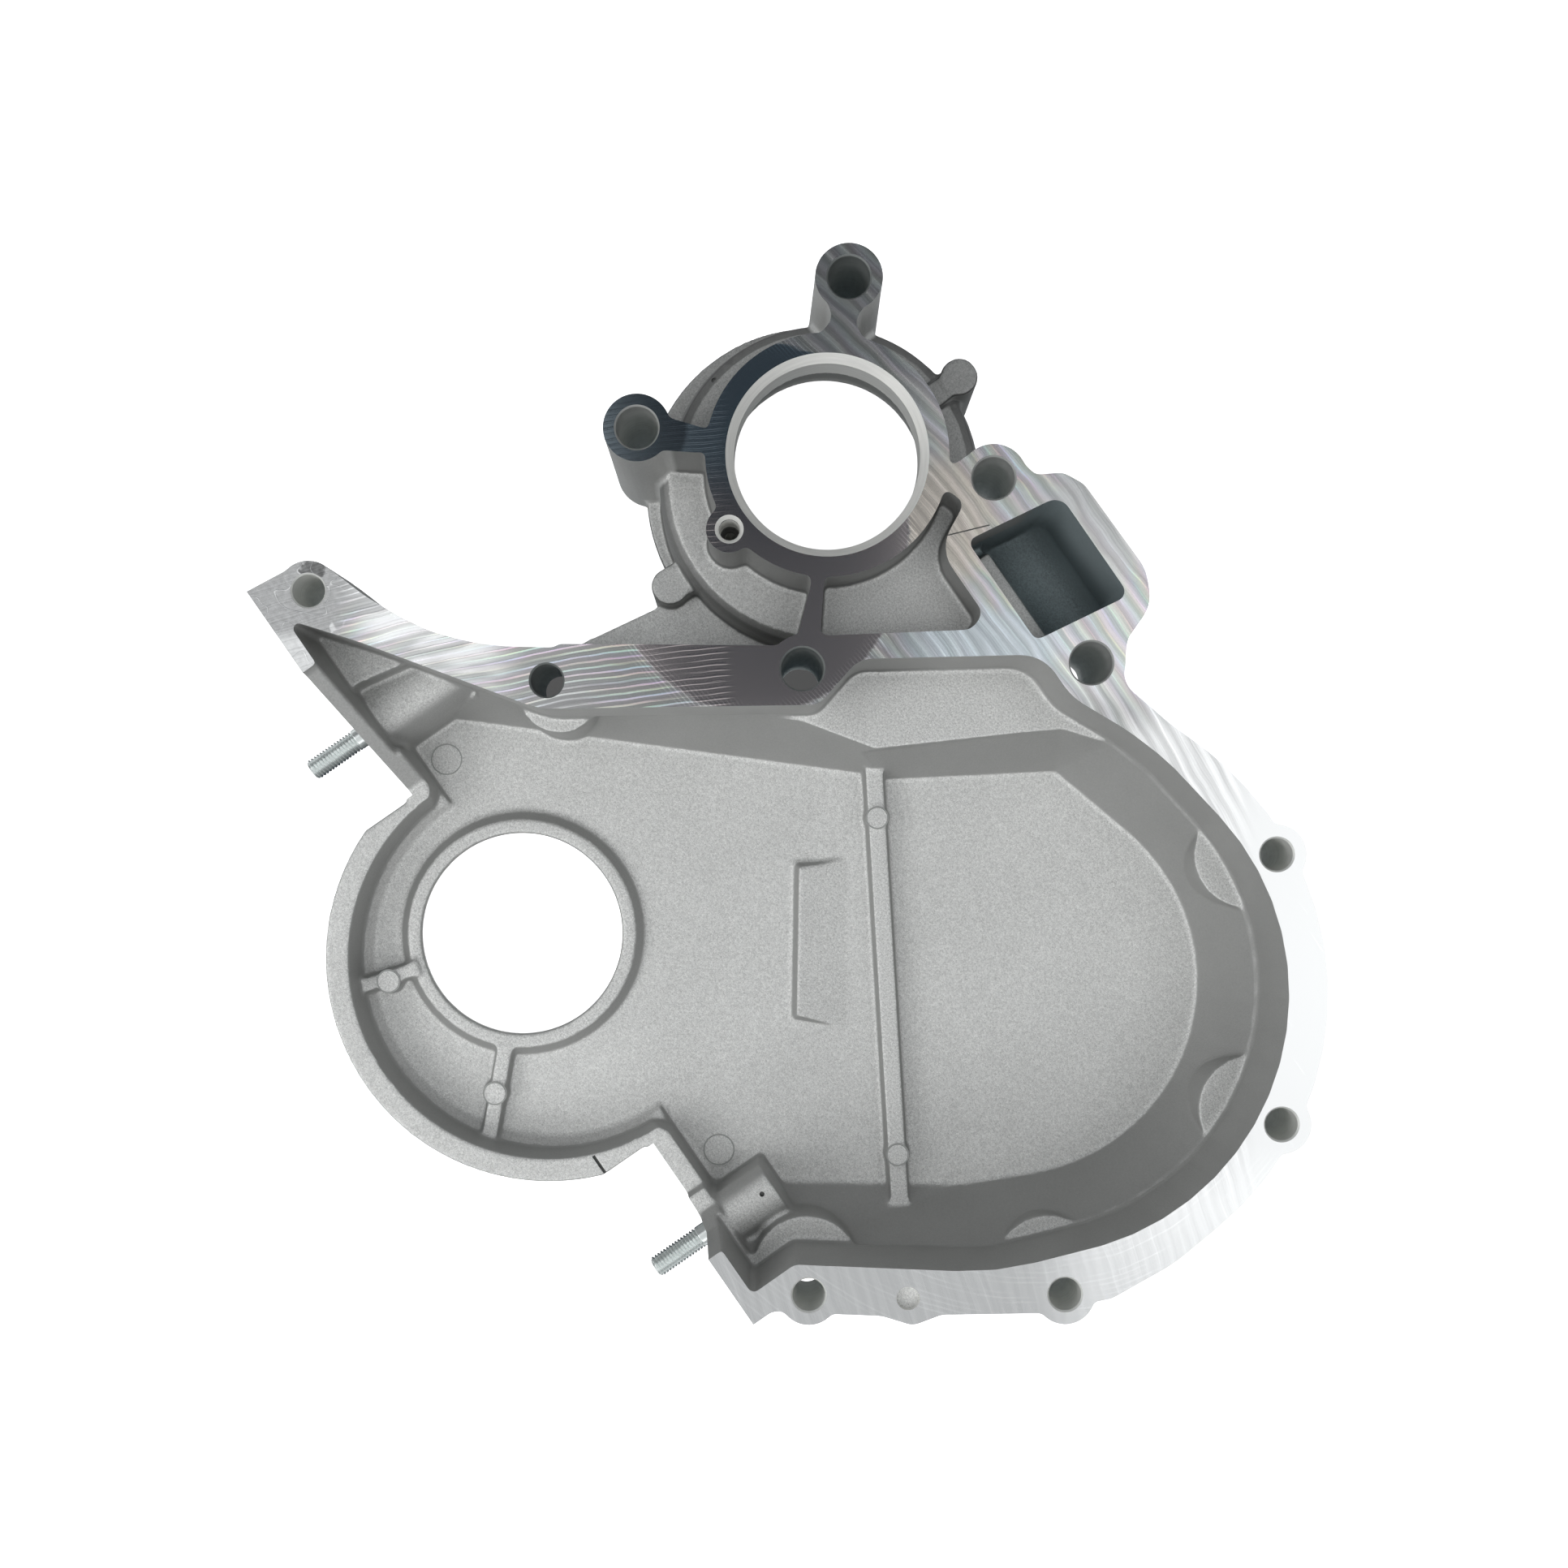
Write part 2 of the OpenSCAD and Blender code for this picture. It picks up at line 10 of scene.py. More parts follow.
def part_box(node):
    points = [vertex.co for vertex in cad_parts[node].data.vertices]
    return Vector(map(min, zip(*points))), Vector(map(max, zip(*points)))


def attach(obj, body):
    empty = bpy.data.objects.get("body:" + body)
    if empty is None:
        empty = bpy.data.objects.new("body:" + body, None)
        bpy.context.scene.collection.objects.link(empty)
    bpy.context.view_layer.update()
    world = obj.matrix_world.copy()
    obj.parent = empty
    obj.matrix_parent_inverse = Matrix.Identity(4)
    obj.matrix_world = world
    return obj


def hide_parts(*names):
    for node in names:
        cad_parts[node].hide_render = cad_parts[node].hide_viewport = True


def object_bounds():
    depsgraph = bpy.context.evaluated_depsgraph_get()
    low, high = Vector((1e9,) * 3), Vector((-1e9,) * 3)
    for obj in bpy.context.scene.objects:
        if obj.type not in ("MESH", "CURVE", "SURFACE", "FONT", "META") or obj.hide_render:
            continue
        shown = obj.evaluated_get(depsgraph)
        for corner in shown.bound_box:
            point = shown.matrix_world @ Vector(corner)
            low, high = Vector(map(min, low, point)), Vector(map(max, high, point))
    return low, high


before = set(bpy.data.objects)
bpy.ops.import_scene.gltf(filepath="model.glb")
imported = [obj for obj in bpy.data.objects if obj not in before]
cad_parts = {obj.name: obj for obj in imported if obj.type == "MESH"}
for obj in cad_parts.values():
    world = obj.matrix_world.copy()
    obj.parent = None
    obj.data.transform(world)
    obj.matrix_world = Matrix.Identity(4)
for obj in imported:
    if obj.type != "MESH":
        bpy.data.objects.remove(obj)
CAD_BOX = [list(corner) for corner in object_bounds()]

bl_info = {
    "name": "Timing cover",
    "version": (1, 0, 0),
    "blender": (4, 5, 0),
    "location": "View3D > Sidebar > Timing cover",
    "description": "Finishes a die-cast engine timing cover: rounded casting, milled faces, threaded studs",
    "category": "Object",
}

MM = 0.001
CASTING = "cover_casting"
STUDS = ("sump_stud_left", "sump_stud_right")

# Places on the cover in millimetres, as in the part's own drawing
CAM = (74.0, 87.0)
CAM_R = 56.2
PUMP = (-45.5, 117.6)
PUMP_BORE_R = 20.0
PUMP_LEAD = 1.8
SEAL_R = 25.0
SEAL_HOLE_R = 23.6
SEAL_DEPTH = 6.0
LIP_TOP = 8.0
M6_R = 3.45
M8_R = 4.5
M6_SEAT = 17.5
STEP_HOLE = (-44.3, 91.2)
OIL_R = 1.3
OIL_WIDE_R = 2.2
OIL_MOUTH_R = 3.1
OIL_DEPTH = 20
STUD_R = 2.5
DIMPLE = (113.1, 29.0)
DIMPLE_R = 2.5
DIMPLE_DEPTH = 1.5
MOON_SIDES = (-39.9, 57.1)
MOON_GROOVE = (52.1, -14.9, 14.0)
MOON_GROOVE_W = 0.7
HAIRLINE = ((-16.9, 128.2), (-13.3, 137.6))
HAIRLINE_W = 0.28
HAIRLINE_DEPTH = 0.3
PORES = ((80.6, 13.2, 0.75), (-78.2, 109.6, 0.8))


def by_cam(wall, angle):
    """A place beside the cam wheel, from its distance outside the cavity wall and its angle."""
    turn = math.radians(angle)
    return CAM[0] + (CAM_R + wall) * math.cos(turn), CAM[1] + (CAM_R + wall) * math.sin(turn)


M6_HOLES = (
    (-84.8, 9.5), (-39.9, 40.6), (100.4, 11.9),
    by_cam(5.2, 84.6), by_cam(5.1, 28.3), by_cam(8.6, -27.4),
)
M8_HOLES = ((-74.2, 143.1), (-73.5, 87.3), (-21.1, 144.1), (-10.8, 87.1), (23.4, 138.8))

# Bolt holes whose walls get little light
SHADED_HOLES = (M6_HOLES[1], M8_HOLES[0], M8_HOLES[3])

# Painted shade at the mouth of each kind of bolt hole: how light its walls stay there
LARGE_MOUTH = 0.48
SMALL_MOUTH = 0.85
SHADED_MOUTH = 0.36

# Bolt holes with a shaded floor under them, and how far the shade reaches
FLOOR_SHADES = ((M6_HOLES[1], 7.5), (M8_HOLES[3], 5.5))
SHADE_EDGE = 0.8

# Ejector pins: round pads on the ribs and round lines on the floor, with place and radius
PIN_PADS = ((25.2, 84.3, 2.7), (92.9, 43.3, 2.7), (-8.5, -31.9, 2.8), (27.4, -26.5, 2.8))
PIN_MARKS = ((-44.3, 8.4, 3.6), (68.7, 8.9, 3.6))

# Painted shade inside the coolant port: middle and half sizes, the ledge's height and the tint of the shaded
# walls
PORT_SHADE_ZONE = (1.5, 144.5, 14.0, 12.0)
PORT_LEDGE_Z = 30.5
PORT_SHADE_TINT = (0.62, 0.73, 0.76)

FACE_Z = CAD_BOX[1][2]
SUMP_Y = -1.5 * MM

# The photograph's view: the camera hangs over one point of the face and is turned about Z
NADIR = (18.5 * MM, 59.1 * MM)
CAMERA_RISE = 340 * MM
CAMERA_ROLL = math.radians(55.34)
PHOTO_PIXELS = 1932
PIXELS_PER_MM = 5.75
NADIR_PIXEL = (952, 1054)

# The cutter's work on the gasket face, across and down the photograph's view: far centres of its two paths,
# and the oval that the last smooth pass covers
ACROSS = (math.cos(CAMERA_ROLL), math.sin(CAMERA_ROLL))
STRIP_PATH = (333.0, -128.0)
FACE_PATH = (20.0, -260.0)
SMOOTH_PASS = (55.3, -88.6, 33.0, 40.0)
# Painted reflection tints of the smooth pass, warm and cool
WARM_PASS_REFLECTION = (0.95, 0.86, 0.86)
COOL_PASS_REFLECTION = (0.72, 0.86, 0.96)

# Patches on the gasket face, as middle and half sizes in the same view, and the tints of two of them: painted
# shade in the first, painted sheen in the other two
SHADE_PATCH = (-39.4, -79.6, 3.0, 2.0)
WARM_SHEEN_PATCH = (96.0, -90.0, 13.0, 17.0)
BLUE_SHEEN_PATCH = (104.0, -64.0, 22.0, 9.0)
WARM_SHEEN_TINT = (1.0, 0.91, 0.80)
BLUE_SHEEN_TINT = (0.84, 0.94, 1.0)


class CoverSettings(bpy.types.PropertyGroup):
    """Sizes and colours of the casting."""

    voxel: bpy.props.FloatProperty(
        name="Voxel", description="Fineness of the rounded casting", default=0.36 * MM, unit="LENGTH")
    fillet: bpy.props.FloatProperty(
        name="Fillet", description="Radius in the inner corners", default=0.8 * MM, unit="LENGTH")
    rounding: bpy.props.FloatProperty(
        name="Rounding", description="Radius on the outer edges", default=0.45 * MM, unit="LENGTH")
    stock: bpy.props.FloatProperty(
        name="Stock", description="Metal that the cutter takes off", default=2.0 * MM, unit="LENGTH")
    triangles: bpy.props.IntProperty(
        name="Triangles", description="Triangles of the casting before it is machined",
        default=165000, min=20000)
    cast_colour: bpy.props.FloatVectorProperty(
        name="Cast colour", description="Blasted aluminium", subtype="COLOR", default=(0.74, 0.745, 0.73))
    milled_colour: bpy.props.FloatVectorProperty(
        name="Milled colour", description="Milled aluminium", subtype="COLOR", default=(0.86, 0.87, 0.87))
    bore_colour: bpy.props.FloatVectorProperty(
        name="Bore colour", description="Bored aluminium", subtype="COLOR", default=(0.86, 0.86, 0.83))
    large_hole_colour: bpy.props.FloatVectorProperty(
        name="Large hole colour", description="Walls of the 8 mm bolt holes", subtype="COLOR",
        default=(0.82, 0.84, 0.82))
    shaded_hole_colour: bpy.props.FloatVectorProperty(
        name="Shaded hole colour", description="Walls of the holes that get little light", subtype="COLOR",
        default=(0.56, 0.60, 0.59))
    # The pin lines and the casting's thin lines and pores are painted dark, as painted shade in these grooves
    # and pits
    pin_line_colour: bpy.props.FloatVectorProperty(
        name="Pin line colour", description="Round lines of the ejector pins", subtype="COLOR",
        default=(0.42, 0.43, 0.42))
    line_colour: bpy.props.FloatVectorProperty(
        name="Line colour", description="Thin lines and pores in the casting", subtype="COLOR",
        default=(0.16, 0.165, 0.16))
    small_hole_colour: bpy.props.FloatVectorProperty(
        name="Small hole colour", description="Walls of the 6 mm bolt holes", subtype="COLOR",
        default=(0.90, 0.91, 0.88))


class StudSettings(bpy.types.PropertyGroup):
    """Sizes and colour of the sump studs."""

    pitch: bpy.props.FloatProperty(
        name="Pitch", description="Thread pitch", default=0.8 * MM, unit="LENGTH")
    depth: bpy.props.FloatProperty(
        name="Depth", description="Depth of the thread", default=0.46 * MM, unit="LENGTH")
    shank: bpy.props.FloatProperty(
        name="Shank", description="Plain length outside the casting", default=3.2 * MM, unit="LENGTH")
    colour: bpy.props.FloatVectorProperty(
        name="Zinc colour", description="Bright zinc plate", subtype="COLOR", default=(0.80, 0.84, 0.83))


class StageSettings(bpy.types.PropertyGroup):
    """Floor and light."""

    floor_colour: bpy.props.FloatVectorProperty(
        name="Floor colour", description="Pale floor", subtype="COLOR", default=(0.92, 0.92, 0.92))
    shade_colour: bpy.props.FloatVectorProperty(
        name="Shade colour", description="Floor in the casting's shade", subtype="COLOR",
        default=(0.08, 0.08, 0.08))
    floor_glow: bpy.props.FloatProperty(
        name="Floor glow", description="Light that the floor gives by itself", default=0.97, min=0.0)
    ceiling: bpy.props.FloatProperty(
        name="Ceiling", description="Height of the light panels over the floor", default=1.2, unit="LENGTH")
    ambient: bpy.props.FloatVectorProperty(
        name="Ambient", description="Light between the panels", subtype="COLOR",
        default=(0.035, 0.045, 0.055))
    side_colour: bpy.props.FloatVectorProperty(
        name="Side colour", description="Soft light on the cover's sides", subtype="COLOR",
        default=(0.88, 0.90, 0.91))
    slant_colour: bpy.props.FloatVectorProperty(
        name="Slant colour", description="Soft light that falls on the cover at a slant", subtype="COLOR",
        default=(0.30, 0.305, 0.31))
    backdrop_colour: bpy.props.FloatVectorProperty(
        name="Backdrop colour", description="Pale backdrop behind the floor", subtype="COLOR",
        default=(0.86, 0.87, 0.87))


class Wire:
    """One socket of a node tree, with Python's operators for sums on values."""

    def __init__(self, tree, socket):
        self.tree = tree
        self.socket = socket

    def sum(self, operation, *values):
        return self.tree.node("ShaderNodeMath", {"operation": operation}, dict(enumerate(values)))

    def __add__(self, other):
        return self.sum("ADD", self, other)

    def __sub__(self, other):
        return self.sum("SUBTRACT", self, other)

    def __rsub__(self, other):
        return self.sum("SUBTRACT", other, self)

    def __mul__(self, other):
        return self.sum("MULTIPLY", self, other)

    def __truediv__(self, other):
        return self.sum("DIVIDE", self, other)

    __radd__ = __add__
    __rmul__ = __mul__

    def least(self, other):
        return self.sum("MINIMUM", self, other)

    def most(self, other):
        return self.sum("MAXIMUM", self, other)

    def wave(self):
        return self.sum("SINE", self)

    def cosine(self):
        return self.sum("COSINE", self)

    def part(self):
        return self.sum("FRACT", self)

    def size(self):
        return self.sum("ABSOLUTE", self)

    def ramp(self, low, high):
        """Goes smoothly from 0 at low to 1 at high."""
        return self.tree.node(
            "ShaderNodeMapRange", {"interpolation_type": "SMOOTHSTEP"},
            {0: self, 1: low, 2: high, 3: 0.0, 4: 1.0})


class Nodes:
    """Makes the nodes of a material or of a Geometry Nodes tree."""

    def __init__(self, tree):
        self.tree = tree

    def node(self, kind, settings=None, sockets=None, out=0):
        """Adds a node, sets it, feeds its sockets and returns one of its outputs."""
        made = self.tree.nodes.new(kind)
        for name, value in (settings or {}).items():
            setattr(made, name, value)
        for name, value in (sockets or {}).items():
            socket = made.inputs[name]
            if isinstance(value, Wire):
                self.tree.links.new(value.socket, socket)
            else:
                socket.default_value = value
        return Wire(self, made.outputs[out])

    def split(self, vector):
        parts = self.node("ShaderNodeSeparateXYZ", None, {0: vector})
        return [Wire(self, parts.socket.node.outputs[i]) for i in range(3)]

    def join(self, x, y, z):
        return self.node("ShaderNodeCombineXYZ", None, {0: x, 1: y, 2: z})

    def noise(self, place, scale, detail=2.0):
        """Noise from 0 to 1; scale is in waves to the millimetre."""
        return self.node(
            "ShaderNodeTexNoise", {"noise_dimensions": "3D"},
            {"Vector": place, "Scale": scale, "Detail": detail, "Roughness": 0.55})

    def distance(self, place, point):
        """Distance in plan from an upright axis, in millimetres."""
        return self.node("ShaderNodeVectorMath", {"operation": "DISTANCE"}, {0: place, 1: (*point, 0.0)}, 1)

    def mix(self, share, first, second, blend="MIX"):
        """Mixes two colours."""
        return self.node(
            "ShaderNodeMix", {"data_type": "RGBA", "blend_type": blend, "clamp_factor": True},
            {0: share, 6: first, 7: second}, 2)

    def tint(self, colour, value):
        """A colour made darker or lighter by a value."""
        return self.node("ShaderNodeVectorMath", {"operation": "SCALE"}, {0: colour, 3: value})


class Finish(Nodes):
    """One material, with the place on the piece in millimetres."""

    def __init__(self, name):
        self.material = bpy.data.materials.new(name)
        self.material.use_nodes = True
        super().__init__(self.material.node_tree)
        self.tree.nodes.clear()
        place = self.node("ShaderNodeTexCoord", None, None, "Object")
        self.place = self.node("ShaderNodeVectorMath", {"operation": "SCALE"}, {0: place, 3: 1 / MM})

    def bump(self, height, depth, strength=1.0):
        """A normal from a height of 0 to 1; depth is in millimetres."""
        return self.node(
            "ShaderNodeBump", None, {"Height": height, "Distance": depth * MM, "Strength": strength})

    def surface(self, **sockets):
        named = {name.replace("_", " "): value for name, value in sockets.items()}
        shader = self.node("ShaderNodeBsdfPrincipled", None, named)
        self.node_output(shader)
        return self.material

    def node_output(self, shader):
        output = self.tree.nodes.new("ShaderNodeOutputMaterial")
        self.tree.links.new(shader.socket, output.inputs["Surface"])


def rgba(colour):
    return (*colour, 1.0)


def cast_finish(settings):
    """Blasted die casting: pale and grainy on the flat; the walls are less grainy and painted darker as
    shade.
    """
    look = Finish("cast_aluminium")
    grain = look.noise(look.place, 1.9, 1.0)
    speck = look.noise(look.place, 4.2, 1.0)
    cloud = look.noise(look.place, 0.045, 3.0)
    normal = look.node("ShaderNodeNewGeometry", None, None, "Normal")
    facing = look.split(normal)[2]
    upward = facing.ramp(0.66, 0.92)
    sloped = facing.ramp(0.15, 0.45)
    x, y, z = look.split(look.place)
    flat = look.join(x, y, 0.0)

    def near(place, far, close):
        """Goes from 0 at one distance from an upright axis to 1 at a shorter one."""
        return look.distance(flat, place).ramp(far, close)

    # The pump body is darker than the chain case, but not the sides of its two free bosses
    chamber = near(PUMP, 33.0, 31.0) * z.ramp(23.0, 21.0)
    pump_body = near(PUMP, 52.0, 44.0) * (1 - chamber)
    # Painted shade: the pump body's side away from the light
    shaded_side = (x * ACROSS[1] - y * ACROSS[0]).ramp(-102.0, -116.0)
    boss = near(M8_HOLES[0], 9.6, 8.4).most(near(M8_HOLES[1], 9.6, 8.4))
    # Painted shade: inside the coolant port, below its ledge and on its far side, the walls are darker and
    # tinted
    port = PORT_SHADE_ZONE
    along_port = (x - port[0]).size().ramp(port[2] + 1.0, port[2])
    across_port = (y - port[1]).size().ramp(port[3] + 1.0, port[3])
    inside = along_port * across_port
    far_side = y.ramp(port[1], port[1] + 4.0)
    port_shade = inside * z.ramp(PORT_LEDGE_Z - 0.3, PORT_LEDGE_Z - 1.2).most(far_side)
    # Painted shade by slope: upright walls keep only part of the colour, the free bosses' sides a little more
    wall_shade_share = 0.57 + boss * 0.18
    share = wall_shade_share + (1 - wall_shade_share) * upward
    share = share * (1 - port_shade) + port_shade * 0.54
    rough = (grain - 0.5) * 0.6 + (speck - 0.5) * 0.9
    tone = 0.94 + rough * (0.25 + upward * 0.75) + (cloud - 0.5) * 0.16
    # Painted shade on the pump body: its slopes darker than its flat, most on the side away from the light
    dim = sloped * (0.50 - upward * 0.38 + shaded_side * 0.26) + (1 - sloped) * 0.30
    tone = tone * share * (1 - pump_body * (1 - boss) * dim)
    colour = look.mix(port_shade, look.tint(settings.cast_colour, tone), look.tint(PORT_SHADE_TINT, tone))
    height = grain * 0.6 + speck * 0.4
    return look.surface(
        Base_Color=colour, Metallic=0.45, Roughness=0.5 + speck * 0.16, Normal=look.bump(height, 0.09, 0.7))


def milled_finish(settings):
    """Milled face: cutter lines in wide arcs, a smooth pass round the pump ring, painted highlights and
    rainbow sheen.
    """
    look = Finish("milled_aluminium")
    x, y = look.split(look.place)[:2]
    flat = look.join(x, y, 0.0)
    right = x * ACROSS[0] + y * ACROSS[1]
    down = x * ACROSS[1] - y * ACROSS[0]
    wobble = look.noise(flat, 0.05, 2.0) - 0.5
    cloud = look.noise(flat, 0.035, 2.0)
    full_turn = 2 * math.pi

    def streaks(line, run, fineness):
        """Noise drawn out along the cutter's path."""
        return look.noise(look.join(line * fineness, run * 0.05, 0.0), 1.0, 2.0)

    def stripes(line, pitch):
        """Bright lines one pitch apart, from 0 to 1."""
        return (line * (full_turn / pitch)).wave() * 0.5 + 0.5

    def oval(middle_right, middle_down, half_right, half_down):
        """Grows from 0 in the middle of an oval to 1 at its edge and on."""
        along = (right - middle_right) / half_right
        aside = (down - middle_down) / half_down
        return along * along + aside * aside

    # Two cutter paths: one for the long strip, one for all the rest
    strip = right.ramp(52.0, 46.0) * down.ramp(0.0, -20.0)
    rest = 1 - strip
    from_strip = look.distance(flat, STRIP_PATH)
    from_face = look.distance(flat, FACE_PATH)
    strip_line = from_strip + wobble * 2.0
    face_line = from_face + wobble * 3.0
    cam_line = look.distance(flat, CAM) + wobble * 2.0

    # The smooth pass is an oval over the pump ring and the web, with a torn edge
    torn = streaks(from_strip, face_line, 1.2) - 0.5
    swept = oval(*SMOOTH_PASS) + torn * 0.10
    from_boss = look.distance(flat, M8_HOLES[1])
    on_boss = from_boss.ramp(11.5, 10.0)
    smooth = swept.ramp(1.03, 0.97).most(on_boss)
    cut = 1 - smooth
    edge = (1 - (swept - 1.0).size() / 0.16).most(0.0) * stripes(face_line, 0.8).ramp(0.55, 0.95)
    edge = edge * from_boss.ramp(10.0, 16.0)

    # Zones of the cut face: the left end, and painted highlights or glare in the others
    left_end = right.ramp(-30.0, -36.0) * cut
    end_highlight = right.ramp(-37.5, -39.5) * down.ramp(-67.5, -64.0)
    flare_highlight = right.ramp(-34.0, -24.0) * right.ramp(8.0, -6.0) * down.ramp(-40.0, -60.0)
    port_highlight = right.ramp(80.0, 96.0) * down.ramp(-48.0, -58.0)
    side_highlight = (right + down).ramp(84.0, 100.0) * right.ramp(112.0, 130.0)
    side_glare = right.ramp(154.0, 164.0) * down.ramp(62.0, 48.0)
    low_flange = down.ramp(40.0, 60.0)
    lined = (1 - side_glare) * (1 - low_flange * 0.8) * (1 - left_end)

    # Thin bright lines and broad flares of painted highlight on the strip, wide satin bands elsewhere
    thin = stripes(strip_line, 1.25).ramp(0.55, 0.98) * streaks(strip_line, from_face, 0.8).ramp(0.25, 0.55)
    thin = thin * strip * (1 - left_end)
    broad = streaks(strip_line, from_face, 0.30).ramp(0.40, 0.58) * flare_highlight
    wide = stripes(face_line + cloud * 4.0, 2.7) * streaks(face_line, from_strip, 0.4).ramp(0.2, 0.6) * rest
    narrow = stripes(face_line, 1.5).ramp(0.7, 1.0) * rest
    narrow = narrow * streaks(face_line, from_strip, 0.9).ramp(0.4, 0.65)
    fine = (streaks(face_line * rest + strip_line * strip, from_strip, 3.5) - 0.5) * cut * (1 - side_glare)
    fine = fine * (1 - low_flange * 0.7)
    sweep = stripes(cam_line, 1.1).ramp(0.5, 1.0) * streaks(cam_line, face_line, 0.5).ramp(0.45, 0.65)
    sweep = sweep * low_flange

    # Fine scratches, straight and curled
    slanted = look.node(
        "ShaderNodeMapping", None, {"Vector": flat, "Rotation": (0.0, 0.0, 0.5), "Scale": (0.06, 1.1, 1.0)})
    scratch = look.noise(slanted, 1.6, 2.0).ramp(0.66, 0.74)
    curl = (look.noise(flat, 0.16, 1.0) - 0.5).size().ramp(0.014, 0.0) * left_end
    blotch = look.noise(flat, 0.9, 3.0)
    # Painted shade: a dark blotchy patch near the left end
    shade_patch = (oval(*SHADE_PATCH) + (blotch - 0.5) * 1.4).ramp(1.1, 0.6)

    # Painted highlights lighten the flares, the port side, the bright side, the low flange and a white patch
    # at the end; the glare side loses its lines
    tone = 0.56 + flare_highlight * 0.19 + broad * 0.40 + port_highlight * 0.20 + side_highlight * 0.27 + side_glare * 0.02
    tone = tone + low_flange * 0.14 + end_highlight * 0.30 + sweep * 0.07
    tone = tone + thin * 0.50 * (1 - flare_highlight * 0.6) + fine * 0.30
    tone = tone + ((wide - 0.45) * 0.26 + narrow * 0.18) * lined
    tone = tone + (blotch - 0.5) * left_end * 0.30 - left_end * 0.10 - shade_patch * 0.26
    # The smooth pass is painted darker on the boss, as a dark reflection
    tone = tone * cut + smooth * (0.60 - on_boss * 0.30) + edge * 0.28 + scratch * 0.06 + curl * 0.30
    # Painted rainbow sheen on the cutter lines, strongest on the strip's thin lines and by the port
    tint = (0.03 + thin * 0.14 + port_highlight * (0.02 + narrow * 0.09)) * cloud.ramp(0.30, 0.60) * cut
    tint = tint * (1 - side_highlight) * (1 - left_end) * (1 - flare_highlight * 0.6) * (1 - low_flange)
    hue = (strip_line * 0.31 * strip + face_line * 0.24 * rest + cloud * 3.0) * full_turn
    red, green, blue = (1 + (hue + shift).cosine() * tint for shift in (0.0, 2.1, 4.2))
    grey = look.tint(settings.milled_colour, tone)
    rainbow = look.join(red, green, blue)
    sheen = look.node("ShaderNodeVectorMath", {"operation": "MULTIPLY"}, {0: grey, 1: rainbow})
    # Painted sheen: a warm patch and a blue patch beside the port
    colour = look.mix(oval(*WARM_SHEEN_PATCH).ramp(1.0, 0.3) * cut * 0.8, sheen, look.tint(WARM_SHEEN_TINT, tone))
    colour = look.mix(oval(*BLUE_SHEEN_PATCH).ramp(1.0, 0.3) * cut * 0.8, colour, look.tint(BLUE_SHEEN_TINT, tone))
    # Painted reflection on the smooth pass: cool on one side, warm on the other
    pass_reflection = look.mix(down.ramp(-106.0, -90.0), rgba(COOL_PASS_REFLECTION), rgba(WARM_PASS_REFLECTION))
    colour = look.mix(smooth, colour, look.tint(pass_reflection, tone))
    height = thin * 0.5 + wide * 0.4 * cut * lined + fine * 0.5 + curl * 0.5
    return look.surface(
        Base_Color=colour, Metallic=1.0, Roughness=0.13 + cut * 0.12 + fine.size() * 0.1,
        Normal=look.bump(height, 0.03, 1.0))


def bored_finish(name, colour, mouth=1.0):
    """Bored or drilled walls: fine rings down the hole, and the share of the colour left at its mouth as
    painted shade.
    """
    look = Finish(name)
    x, y, z = look.split(look.place)
    rings = look.noise(look.join(x * 0.05, y * 0.05, z), 2.2, 2.0)
    face = FACE_Z / MM
    # Painted shade: the walls are darker at the mouth and take their full colour 13 mm down
    inner = z.ramp(face - 0.4, face - 13.0)
    tone = look.tint(colour, (0.85 + rings * 0.3) * (mouth + inner * (1 - mouth)))
    return look.surface(
        Base_Color=tone, Metallic=0.4, Roughness=0.42 + rings * 0.12, Normal=look.bump(rings, 0.03, 0.6))


def zinc_finish(settings):
    """Bright zinc plate with a faint clouded passivation."""
    look = Finish("zinc_plate")
    cloud = look.noise(look.place, 0.5, 2.0)
    grain = look.noise(look.place, 5.0, 2.0)
    colour = look.tint(settings.colour, 0.82 + cloud * 0.3)
    return look.surface(
        Base_Color=colour, Metallic=1.0, Roughness=0.24 + grain * 0.14, Normal=look.bump(grain, 0.02, 0.4))


def add_object(name, mesh):
    """A new object at the origin, in the scene."""
    piece = bpy.data.objects.new(name, mesh)
    bpy.context.scene.collection.objects.link(piece)
    return piece


def bake(piece):
    """Turns a piece with modifiers into a plain mesh."""
    result = bpy.data.meshes.new_from_object(piece.evaluated_get(bpy.context.evaluated_depsgraph_get()))
    piece.modifiers.clear()
    old = piece.data
    piece.data = result
    bpy.data.meshes.remove(old)


def drop(piece):
    """Removes a helper object and its mesh."""
    mesh = piece.data
    bpy.data.objects.remove(piece)
    bpy.data.meshes.remove(mesh)


def merged_copy(node):
    """Corners and triangles of a CAD node, with its loose triangles joined."""
    work = bmesh.new()
    work.from_mesh(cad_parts[node].data)
    bmesh.ops.remove_doubles(work, verts=work.verts, dist=0.002 * MM)
    bmesh.ops.triangulate(work, faces=work.faces)
    work.verts.ensure_lookup_table()
    corners = np.array([v.co for v in work.verts], np.float64)
    faces = np.array([[v.index for v in f.verts] for f in work.faces], np.uint32)
    work.free()
    return corners, faces


def leave_stock(corners, stock):
    """Raises the gasket face and the two ends of the sump face by the metal that is cut off later."""
    level = 0.001 * MM
    beside = 0.4 * MM
    sump_share = 0.7
    on_face = np.abs(corners[:, 2] - FACE_Z) < level
    left, right = (side * MM for side in MOON_SIDES)
    on_sump = np.abs(corners[:, 1] - SUMP_Y) < level
    on_sump &= (corners[:, 0] < left + beside) | (corners[:, 0] > right - beside)
    corners[on_face, 2] += stock
    corners[on_sump, 1] -= sump_share * stock


